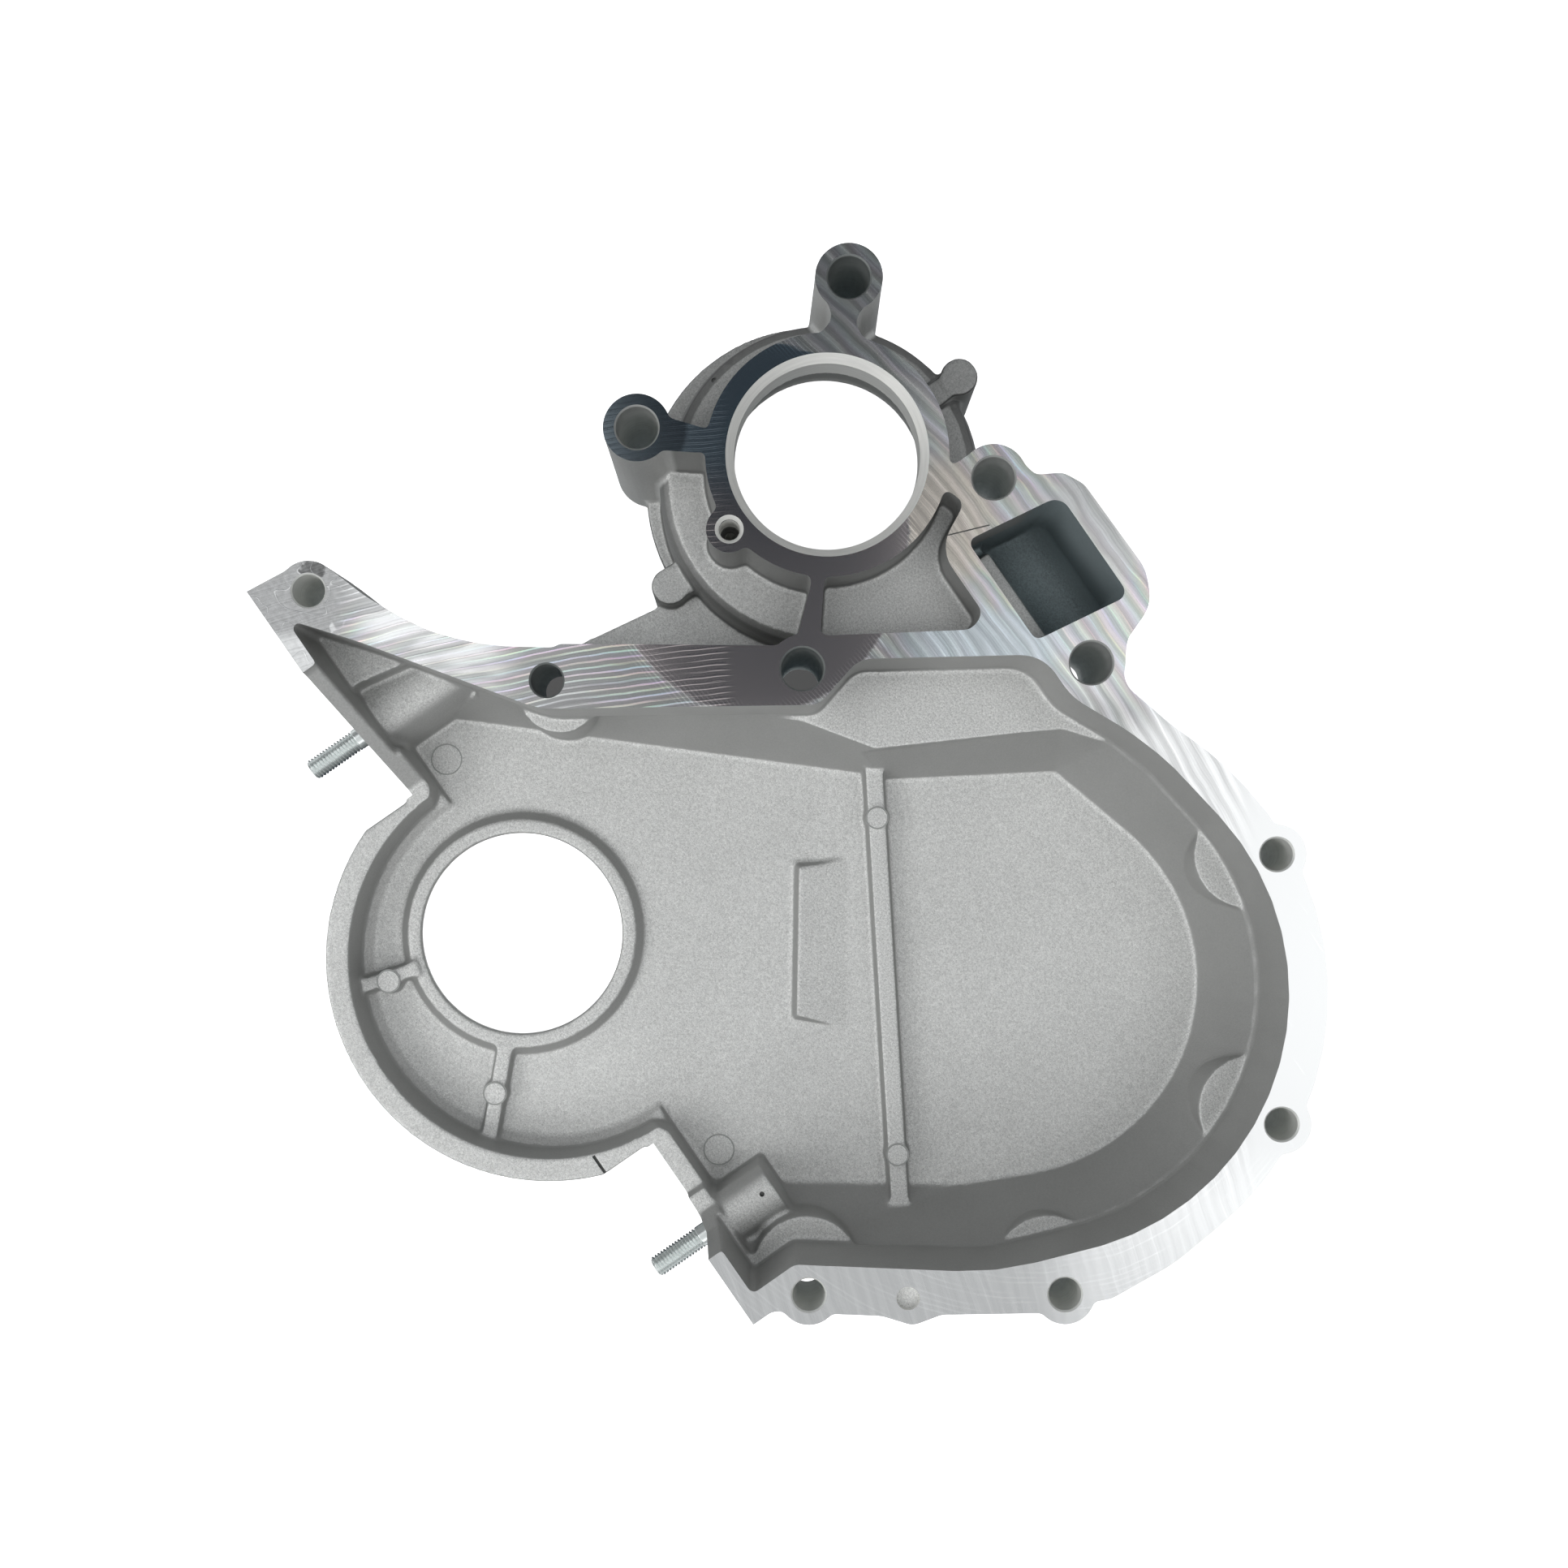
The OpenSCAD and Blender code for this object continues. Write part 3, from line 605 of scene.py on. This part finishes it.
def grown(corners, faces, distance, voxel):
    """The surface moved out by a distance, as quads of a level set."""
    kind = "triangles" if faces.shape[1] == 3 else "quads"
    grid = openvdb.FloatGrid.createLevelSetFromPolygons(
        corners.astype(np.float32), transform=openvdb.createLinearTransform(voxelSize=voxel),
        halfWidth=abs(distance) / voxel + 2, **{kind: faces.astype(np.uint32)})
    return grid.convertToQuads(distance)


def unfold(work):
    """Smooths out the few triangles that the thinning folded over against all their neighbours."""
    passes = 6
    least_match = 0.5
    for _ in range(passes):
        work.normal_update()
        corners = set()
        for face in work.faces:
            around = (f for edge in face.edges for f in edge.link_faces if f is not face)
            if max(face.normal.dot(f.normal) for f in around) < least_match:
                corners.update(face.verts)
        bmesh.ops.smooth_vert(
            work, verts=list(corners), factor=0.5, use_axis_x=True, use_axis_y=True, use_axis_z=True)


def rounded_casting(settings):
    """The CAD casting with filled inner corners and rounded edges."""
    corners, faces = merged_copy(CASTING)
    leave_stock(corners, settings.stock)
    for distance in (settings.fillet, -settings.fillet - settings.rounding, settings.rounding):
        corners, faces = grown(corners, faces, distance, settings.voxel)
    mesh = bpy.data.meshes.new(CASTING + "_looks")
    mesh.from_pydata(corners.tolist(), [], faces.tolist())
    piece = add_object("timing_cover_casting", mesh)
    thin = piece.modifiers.new("thin", "DECIMATE")
    thin.ratio = settings.triangles / (2 * len(faces))
    bake(piece)
    work = bmesh.new()
    work.from_mesh(piece.data)
    bmesh.ops.triangulate(work, faces=work.faces)
    bmesh.ops.recalc_face_normals(work, faces=work.faces)
    unfold(work)
    work.to_mesh(piece.data)
    work.free()
    return piece


def block(low, high):
    """Corners and faces of a block between two corners, in metres."""
    work = bmesh.new()
    bmesh.ops.create_cube(work, size=1.0)
    low, high = Vector(low), Vector(high)
    for v in work.verts:
        v.co = (low + high) / 2 + Vector(a * b for a, b in zip(v.co, high - low))
    return work


def lathe(centre, profile, steps=72):
    """A turned solid about an upright axis; the profile is radius and height in millimetres, upwards."""
    work = bmesh.new()
    rings = []
    for radius, height in profile:
        ring = []
        for i in range(steps):
            turn = 2 * math.pi * i / steps
            ring.append(work.verts.new((
                (centre[0] + radius * math.cos(turn)) * MM,
                (centre[1] + radius * math.sin(turn)) * MM,
                height * MM)))
        rings.append(ring)
    for low, high in zip(rings, rings[1:]):
        for i in range(steps):
            j = (i + 1) % steps
            work.faces.new((low[i], low[j], high[j], high[i]))
    work.faces.new(rings[0][::-1])
    work.faces.new(rings[-1])
    return work


def cutter(name, solids, material):
    """One object of several solids that don't meet."""
    mesh = bpy.data.meshes.new(name)
    whole = bmesh.new()
    for solid in solids:
        part = bpy.data.meshes.new("part")
        solid.to_mesh(part)
        solid.free()
        whole.from_mesh(part)
        bpy.data.meshes.remove(part)
    bmesh.ops.recalc_face_normals(whole, faces=whole.faces)
    whole.to_mesh(mesh)
    whole.free()
    mesh.materials.append(material)
    return add_object(name, mesh)


def change_solid(piece, tool, operation):
    """Joins a tool's solids to a piece or takes them out; the new faces keep the tool's material."""
    change = piece.modifiers.new("change", "BOOLEAN")
    change.operation = operation
    change.solver = "MANIFOLD"
    change.material_mode = "TRANSFER"
    change.object = tool
    bake(piece)
    drop(tool)


def cut(piece, tool):
    """Takes a tool's solids out of a piece."""
    change_solid(piece, tool, "DIFFERENCE")


def machine_faces(piece, milled):
    """Mills the gasket face and the two ends of the sump face."""
    top = FACE_Z + 20 * MM
    reach = 0.2
    under = -0.05
    outer = -0.1
    clear = 0.5 * MM
    cut(piece, cutter("face_mill", [block((-reach, -reach, FACE_Z), (reach, reach, top))], milled))
    left, right = (side * MM for side in MOON_SIDES)
    ends = [
        block((-reach, outer, under), (left - clear, SUMP_Y, top)),
        block((right + clear, outer, under), (reach, SUMP_Y, top)),
    ]
    cut(piece, cutter("end_mill", ends, milled))


def drill_holes(piece, finishes):
    """Bores and drills every round hole to its true size, with a fine chamfer at the face."""
    clean = 0.06
    chamfer = 0.35
    face = FACE_Z / MM
    above = face + 1

    def hole(place, radius, low):
        radius = radius + clean
        edge = [(radius, face - chamfer), (radius + chamfer, face), (radius + chamfer, above)]
        return lathe(place, [(radius, low), *edge])

    drills = {"small_hole": [], "large_hole": [], "shaded_hole": []}
    kinds = (("small_hole", M6_HOLES, M6_R, M6_SEAT - 3), ("large_hole", M8_HOLES, M8_R, -1))
    for name, places, radius, low in kinds:
        for place in places:
            drills["shaded_hole" if place in SHADED_HOLES else name].append(hole(place, radius, low))
    for name, solids in drills.items():
        cut(piece, cutter(name, solids, finishes[name]))

    bore = PUMP_BORE_R + clean
    pump = [(bore, 20), (bore, face - PUMP_LEAD), (bore + PUMP_LEAD, face), (bore + PUMP_LEAD, above)]
    seat = SEAL_R + clean
    hole_r = SEAL_HOLE_R + clean
    seal = [(seat, -1), (seat, SEAL_DEPTH), (hole_r, SEAL_DEPTH), (hole_r, LIP_TOP + 3)]
    step = [
        (OIL_R, face - OIL_DEPTH), (OIL_R, face - 8), (OIL_WIDE_R, face - 7.4),
        (OIL_WIDE_R, face - 0.9), (OIL_MOUTH_R, face), (OIL_MOUTH_R, above),
    ]
    bores = [lathe(PUMP, pump, 144), lathe((0, 0), seal, 144), lathe(STEP_HOLE, step, 48)]
    cut(piece, cutter("bores", bores, finishes["bored"]))

    dimple = lathe(DIMPLE, [(DIMPLE_R, face - 3.0), (DIMPLE_R, above)], 48)
    cut(piece, cutter("dimple", [dimple], finishes["bored"]))
    foot = lathe(DIMPLE, [(DIMPLE_R + 0.1, face - 4.0), (DIMPLE_R + 0.1, face - DIMPLE_DEPTH)], 48)
    change_solid(piece, cutter("dimple_floor", [foot], finishes["cast"]), "UNION")


def tree_inputs(tree, inputs):
    """Adds named inputs and one output to a Geometry Nodes tree and returns the inputs' sockets."""
    for name, kind in inputs.items():
        tree.interface.new_socket(name, in_out="INPUT", socket_type=kind)
    tree.interface.new_socket("Geometry", in_out="OUTPUT", socket_type="NodeSocketGeometry")
    group = tree.nodes.new("NodeGroupInput")
    return {name: group.outputs[name] for name in inputs}


def finish_tree(nodes, geometry, material):
    """Ends a Geometry Nodes tree with real geometry and its material."""
    real = nodes.node("GeometryNodeRealizeInstances", None, {0: geometry})
    finished = nodes.node("GeometryNodeSetMaterial", None, {"Geometry": real, "Material": material})
    output = nodes.tree.nodes.new("NodeGroupOutput")
    nodes.tree.links.new(finished.socket, output.inputs["Geometry"])


def run_tree(piece, tree, values):
    """Runs a Geometry Nodes tree on a piece and keeps the result as a plain mesh."""
    change = piece.modifiers.new(tree.name, "NODES")
    change.node_group = tree
    sockets = {item.name: item.identifier for item in tree.interface.items_tree if item.in_out == "INPUT"}
    for name, value in values.items():
        change[sockets[name]] = value
    bake(piece)


def pin_ring_tree():
    """A tree that puts a thin round groove cutter on every point, as large as its pin_radius attribute."""
    tree = bpy.data.node_groups.new("pin_rings", "GeometryNodeTree")
    wires = tree_inputs(tree, {
        "Geometry": "NodeSocketGeometry", "Width": "NodeSocketFloat", "Material": "NodeSocketMaterial"})
    nodes = Nodes(tree)
    points = nodes.node("GeometryNodeMeshToPoints", None, {"Mesh": Wire(nodes, wires["Geometry"])})
    path = nodes.node("GeometryNodeCurvePrimitiveCircle", None, {"Resolution": 56, "Radius": 1.0})
    radius = nodes.node(
        "GeometryNodeInputNamedAttribute", {"data_type": "FLOAT"}, {"Name": "pin_radius"}, "Attribute")
    scale = nodes.join(radius, radius, radius)
    rings = nodes.node(
        "GeometryNodeInstanceOnPoints", None, {"Points": points, "Instance": path, "Scale": scale})
    curves = nodes.node("GeometryNodeRealizeInstances", None, {0: rings})
    curves = nodes.node("GeometryNodeSetCurveRadius", None, {"Curve": curves, "Radius": 1.0})
    half_width = Wire(nodes, wires["Width"]) * 0.5
    section = nodes.node("GeometryNodeCurvePrimitiveCircle", None, {"Resolution": 6, "Radius": half_width})
    tubes = nodes.node("GeometryNodeCurveToMesh", None, {"Curve": curves, "Profile Curve": section})
    finish_tree(nodes, tubes, Wire(nodes, wires["Material"]))
    return tree


def surface_height(piece, x, y):
    """Height of the casting under a place, in millimetres."""
    hit, spot = piece.ray_cast(Vector((x * MM, y * MM, 2 * FACE_Z)), Vector((0, 0, -1)))[:2]
    if not hit:
        raise RuntimeError(f"nothing of the casting lies under {x}, {y}")
    return spot.z / MM


def raise_pads(piece, cast):
    """Sets a crisp round pad on each rib where an ejector pin pushes."""
    rise = 0.25
    root = 2.0
    edge = 0.12
    pads = []
    for x, y, radius in PIN_PADS:
        top = surface_height(piece, x, y) + rise
        profile = [(radius, top - root), (radius, top - edge), (radius - edge, top)]
        pads.append(lathe((x, y), profile, 56))
    change_solid(piece, cutter("pin_pads", pads, cast), "UNION")


def mark_pins(piece, line):
    """Cuts the thin round line that each ejector pin leaves, on the pads and on the floor."""
    width = 0.4
    inset = 0.15
    marks = [*PIN_MARKS, *((x, y, radius - inset) for x, y, radius in PIN_PADS)]
    points = bpy.data.meshes.new("pins")
    points.from_pydata([(x * MM, y * MM, surface_height(piece, x, y) * MM) for x, y, radius in marks], [], [])
    size = points.attributes.new("pin_radius", "FLOAT", "POINT")
    size.data.foreach_set("value", [radius * MM for x, y, radius in marks])
    rings = add_object("pin_rings", points)
    run_tree(rings, pin_ring_tree(), {"Width": width * MM, "Material": line})
    cut(piece, rings)


def slit(start, end, width, low, high):
    """A thin upright blade between two places, in millimetres."""
    way = Vector(end) - Vector(start)
    work = block((0, -width / 2 * MM, low * MM), (way.length * MM, width / 2 * MM, high * MM))
    turn = Matrix.Rotation(math.atan2(way.y, way.x), 4, "Z")
    work.transform(Matrix.Translation((start[0] * MM, start[1] * MM, 0)) @ turn)
    return work


def mark_casting(piece, line):
    """Cuts the casting's small flaws: a nick in the half-moon's rim, a hairline by the port and two pores."""
    x, y, z = (value * MM for value in MOON_GROOVE)
    face = FACE_Z / MM
    flaws = [
        block((x, y, z), (x + 10 * MM, y + MOON_GROOVE_W * MM, z + 5 * MM)),
        slit(*HAIRLINE, HAIRLINE_W, face - HAIRLINE_DEPTH, face + 1),
    ]
    for x, y, radius in PORES:
        top = surface_height(piece, x, y)
        flaws.append(lathe((x, y), [(radius * 0.4, top - 0.8), (radius, top + 0.4)], 12))
    cut(piece, cutter("flaws", flaws, line))


def shade(piece, angle=38.0):
    """Smooth shading with crisp machined edges."""
    mesh = piece.data
    mesh.shade_smooth()
    mesh.set_sharp_from_angle(angle=math.radians(angle))
    weigh = piece.modifiers.new("weigh", "WEIGHTED_NORMAL")
    weigh.keep_sharp = True
    bake(piece)


class COVER_OT_casting(bpy.types.Operator):
    """Makes the casting: rounded blank, milled faces, bores and pin marks"""

    bl_idname = "timing_cover.casting"
    bl_label = "Casting"

    def execute(self, context):
        settings = context.scene.timing_cover
        finishes = {
            "cast": cast_finish(settings),
            "milled": milled_finish(settings),
            "bored": bored_finish("bored_aluminium", settings.bore_colour),
            "large_hole": bored_finish("large_hole_aluminium", settings.large_hole_colour, LARGE_MOUTH),
            "small_hole": bored_finish("small_hole_aluminium", settings.small_hole_colour, SMALL_MOUTH),
            "shaded_hole": bored_finish(
                "shaded_hole_aluminium", settings.shaded_hole_colour, SHADED_MOUTH),
            # The two line finishes carry painted shade for thin grooves and pits
            "line": bored_finish("casting_line", settings.line_colour),
            "pin_line": bored_finish("pin_line", settings.pin_line_colour),
        }
        piece = rounded_casting(settings)
        piece.data.materials.append(finishes["cast"])
        machine_faces(piece, finishes["milled"])
        drill_holes(piece, finishes)
        raise_pads(piece, finishes["cast"])
        mark_pins(piece, finishes["pin_line"])
        mark_casting(piece, finishes["line"])
        shade(piece)
        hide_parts(CASTING)
        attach(piece, "root")
        return {"FINISHED"}


def stud_tree():
    """A tree that rolls a grid into a stud: thick end, plain shank, thread and chamfered tip."""
    tree = bpy.data.node_groups.new("threaded_stud", "GeometryNodeTree")
    names = (
        "Axis X", "Axis Z", "Start Y", "Length", "Tap length", "Tap radius",
        "Radius", "Shank", "Pitch", "Depth")
    sizes = {name: "NodeSocketFloat" for name in names}
    wires = tree_inputs(tree, {"Geometry": "NodeSocketGeometry", **sizes, "Material": "NodeSocketMaterial"})
    nodes = Nodes(tree)
    value = {name: Wire(nodes, wires[name]) for name in names}
    grid = nodes.node(
        "GeometryNodeMeshGrid", None, {"Size X": 1.0, "Size Y": 1.0, "Vertices X": 49, "Vertices Y": 340})
    u, v = nodes.split(nodes.node("GeometryNodeInputPosition"))[:2]
    turn = (u + 0.5) * (2 * math.pi)
    cap = 0.02
    run = (v + 0.5) * (1 + 2 * cap) - cap
    over = (run - 1).most(run * -1).most(0.0)
    along = run.most(0.0).least(1.0) * value["Length"]
    tooth = 1 - ((along / value["Pitch"] - (u + 0.5)).part() * 2 - 1).size()
    crest = (tooth * 1.5 - 0.2).most(0.0).least(1.0)
    thread_from = value["Tap length"] + value["Shank"]
    threaded = (along - thread_from).ramp(0.0, 0.6 * MM)
    tip = value["Radius"] - value["Depth"] * 1.2 + (value["Length"] - along)
    body = (value["Radius"] - value["Depth"] * (1 - crest) * threaded).least(tip)
    inside = (along - value["Tap length"]).ramp(0.02 * MM, -0.02 * MM)
    radius = (body * (1 - inside) + value["Tap radius"] * inside) * (1 - over / cap).most(0.0)
    place = nodes.join(
        value["Axis X"] + radius * turn.cosine(),
        value["Start Y"] - along,
        value["Axis Z"] + radius * turn.wave())
    shaped = nodes.node("GeometryNodeSetPosition", None, {"Geometry": grid, "Position": place})
    closed = nodes.node("GeometryNodeMergeByDistance", None, {"Geometry": shaped, "Distance": 0.001 * MM})
    smooth = nodes.node("GeometryNodeSetShadeSmooth", None, {"Geometry": closed})
    finish_tree(nodes, smooth, Wire(nodes, wires["Material"]))
    return tree


class COVER_OT_studs(bpy.types.Operator):
    """Makes the two threaded sump studs"""

    bl_idname = "timing_cover.studs"
    bl_label = "Sump studs"

    def execute(self, context):
        settings = context.scene.timing_cover_studs
        zinc = zinc_finish(settings)
        tree = stud_tree()
        for node in STUDS:
            low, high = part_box(node)
            centre = (low + high) / 2
            piece = add_object(node + "_threaded", bpy.data.meshes.new(node + "_looks"))
            run_tree(piece, tree, {
                "Axis X": centre.x, "Axis Z": centre.z, "Start Y": high.y, "Length": high.y - low.y,
                "Tap length": high.y - SUMP_Y, "Tap radius": (high.x - low.x) / 2,
                "Radius": STUD_R * MM,
                "Shank": settings.shank, "Pitch": settings.pitch, "Depth": settings.depth, "Material": zinc})
            work = bmesh.new()
            work.from_mesh(piece.data)
            bmesh.ops.recalc_face_normals(work, faces=work.faces)
            work.to_mesh(piece.data)
            work.free()
            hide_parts(node)
            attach(piece, "root")
        return {"FINISHED"}


def photo_place(right, down, height):
    """A place over the cover, from millimetres to the right and down in the photograph's view."""
    cos, sin = ACROSS
    return Vector((
        NADIR[0] + (right * cos + down * sin) * MM,
        NADIR[1] + (right * sin - down * cos) * MM,
        height))


def light_panel(name, left, top, right, bottom, radiance, height):
    """A soft light panel over the cover; its edges are millimetres in the photograph's view."""
    light = bpy.data.lights.new(name, "AREA")
    light.shape = "RECTANGLE"
    light.size = (right - left) * MM
    light.size_y = (bottom - top) * MM
    light.energy = radiance * math.pi * light.size * light.size_y
    lamp = bpy.data.objects.new(name, light)
    lamp.location = photo_place((left + right) / 2, (top + bottom) / 2, height)
    lamp.rotation_euler = (0, 0, CAMERA_ROLL)
    bpy.context.scene.collection.objects.link(lamp)


PANELS = {
    "right_panel": (330, -330, 1000, 480, 1.45),
    "left_panel": (-1000, -440, -160, -90, 1.25),
    "front_panel": (-900, -90, 330, 900, 0.70),
    "port_panel": (150, -480, 330, -90, 0.90),
    "web_panel": (-160, -300, 150, -90, 0.06),
    "back_panel": (-700, -1000, 700, -540, 0.16),
    "left_side": (-2400, -200, -1000, 1300, 3.0),
    "front_side": (-1000, 900, 900, 2000, 1.7),
}


def floor_finish(settings):
    """A pale floor that glows a little, apart from two places in the casting's shade."""
    look = Finish("pale_floor")
    x, y = look.split(look.place)[:2]
    flat = look.join(x, y, 0.0)
    lit = 1.0
    for place, reach in FLOOR_SHADES:
        lit = look.distance(flat, place).ramp(reach, reach + SHADE_EDGE) * lit
    colour = look.mix(lit, rgba(settings.shade_colour), rgba(settings.floor_colour))
    glow = look.mix(lit, rgba(settings.shade_colour), (1.0, 1.0, 1.0, 1.0))
    return look.surface(
        Base_Color=colour, Roughness=0.9, Emission_Color=glow, Emission_Strength=settings.floor_glow)


def studio_world(settings):
    """Dark between the panels, with soft bands of light lower down and a pale backdrop."""
    world = bpy.data.worlds.new("studio")
    world.use_nodes = True
    world.node_tree.nodes.clear()
    nodes = Nodes(world.node_tree)
    rise = nodes.split(nodes.node("ShaderNodeTexCoord", None, None, "Generated"))[2]
    level = rise.ramp(-0.75, -0.50) * rise.ramp(0.06, 0.02)
    slant = rise.ramp(0.02, 0.10) * rise.ramp(0.72, 0.60)
    light = nodes.mix(slant, rgba(settings.ambient), rgba(settings.slant_colour))
    light = nodes.mix(level, light, rgba(settings.side_colour))
    seen = nodes.node("ShaderNodeLightPath", None, None, "Is Camera Ray")
    colour = nodes.mix(seen, light, rgba(settings.backdrop_colour))
    back = nodes.node("ShaderNodeBackground", None, {"Color": colour})
    output = world.node_tree.nodes.new("ShaderNodeOutputWorld")
    world.node_tree.links.new(back.socket, output.inputs["Surface"])
    return world


class COVER_OT_stage(bpy.types.Operator):
    """Lays the floor and sets the light and the camera"""

    bl_idname = "timing_cover.stage"
    bl_label = "Stage"

    def execute(self, context):
        settings = context.scene.timing_cover_stage
        scene = context.scene
        scene.view_settings.view_transform = "Standard"
        floor_mesh = bpy.data.meshes.new("floor")
        reach = 4.0
        floor_mesh.from_pydata(
            [(-reach, -reach, 0), (reach, -reach, 0), (reach, reach, 0), (-reach, reach, 0)],
            [], [(0, 1, 2, 3)])
        gap = 0.2 * MM
        floor_mesh.transform(Matrix.Translation((0, 0, -gap)))
        floor = add_object("floor", floor_mesh)
        floor_mesh.materials.append(floor_finish(settings))
        floor.visible_diffuse = False
        floor.visible_glossy = False
        scene.world = studio_world(settings)
        for name, edges in PANELS.items():
            light_panel(name, *edges, settings.ceiling)
        camera = bpy.data.cameras.new("camera")
        camera.sensor_width = 36.0
        camera.lens = PIXELS_PER_MM * (CAMERA_RISE / MM) * camera.sensor_width / PHOTO_PIXELS
        camera.shift_x = (PHOTO_PIXELS / 2 - NADIR_PIXEL[0]) / PHOTO_PIXELS
        camera.shift_y = (NADIR_PIXEL[1] - PHOTO_PIXELS / 2) / PHOTO_PIXELS
        camera.clip_start = 0.01
        viewer = bpy.data.objects.new("camera", camera)
        viewer.location = (*NADIR, FACE_Z + CAMERA_RISE)
        viewer.rotation_euler = (0, 0, CAMERA_ROLL)
        scene.collection.objects.link(viewer)
        scene.camera = viewer
        return {"FINISHED"}


class COVER_PT_sidebar(bpy.types.Panel):
    """Lists the steps that make the cover"""

    bl_idname = "COVER_PT_sidebar"
    bl_label = "Timing cover"
    bl_space_type = "VIEW_3D"
    bl_region_type = "UI"
    bl_category = "Timing cover"

    def draw(self, context):
        for step in (COVER_OT_casting, COVER_OT_studs, COVER_OT_stage):
            self.layout.operator(step.bl_idname)


CLASSES = (
    CoverSettings, StudSettings, StageSettings,
    COVER_OT_casting, COVER_OT_studs, COVER_OT_stage, COVER_PT_sidebar,
)


def register():
    for cls in CLASSES:
        bpy.utils.register_class(cls)
    bpy.types.Scene.timing_cover = bpy.props.PointerProperty(type=CoverSettings)
    bpy.types.Scene.timing_cover_studs = bpy.props.PointerProperty(type=StudSettings)
    bpy.types.Scene.timing_cover_stage = bpy.props.PointerProperty(type=StageSettings)


def unregister():
    del bpy.types.Scene.timing_cover
    del bpy.types.Scene.timing_cover_studs
    del bpy.types.Scene.timing_cover_stage
    for cls in reversed(CLASSES):
        bpy.utils.unregister_class(cls)


def main():
    register()
    bpy.ops.timing_cover.casting()
    bpy.ops.timing_cover.studs()
    bpy.ops.timing_cover.stage()


if __name__ == "__main__":
    main()
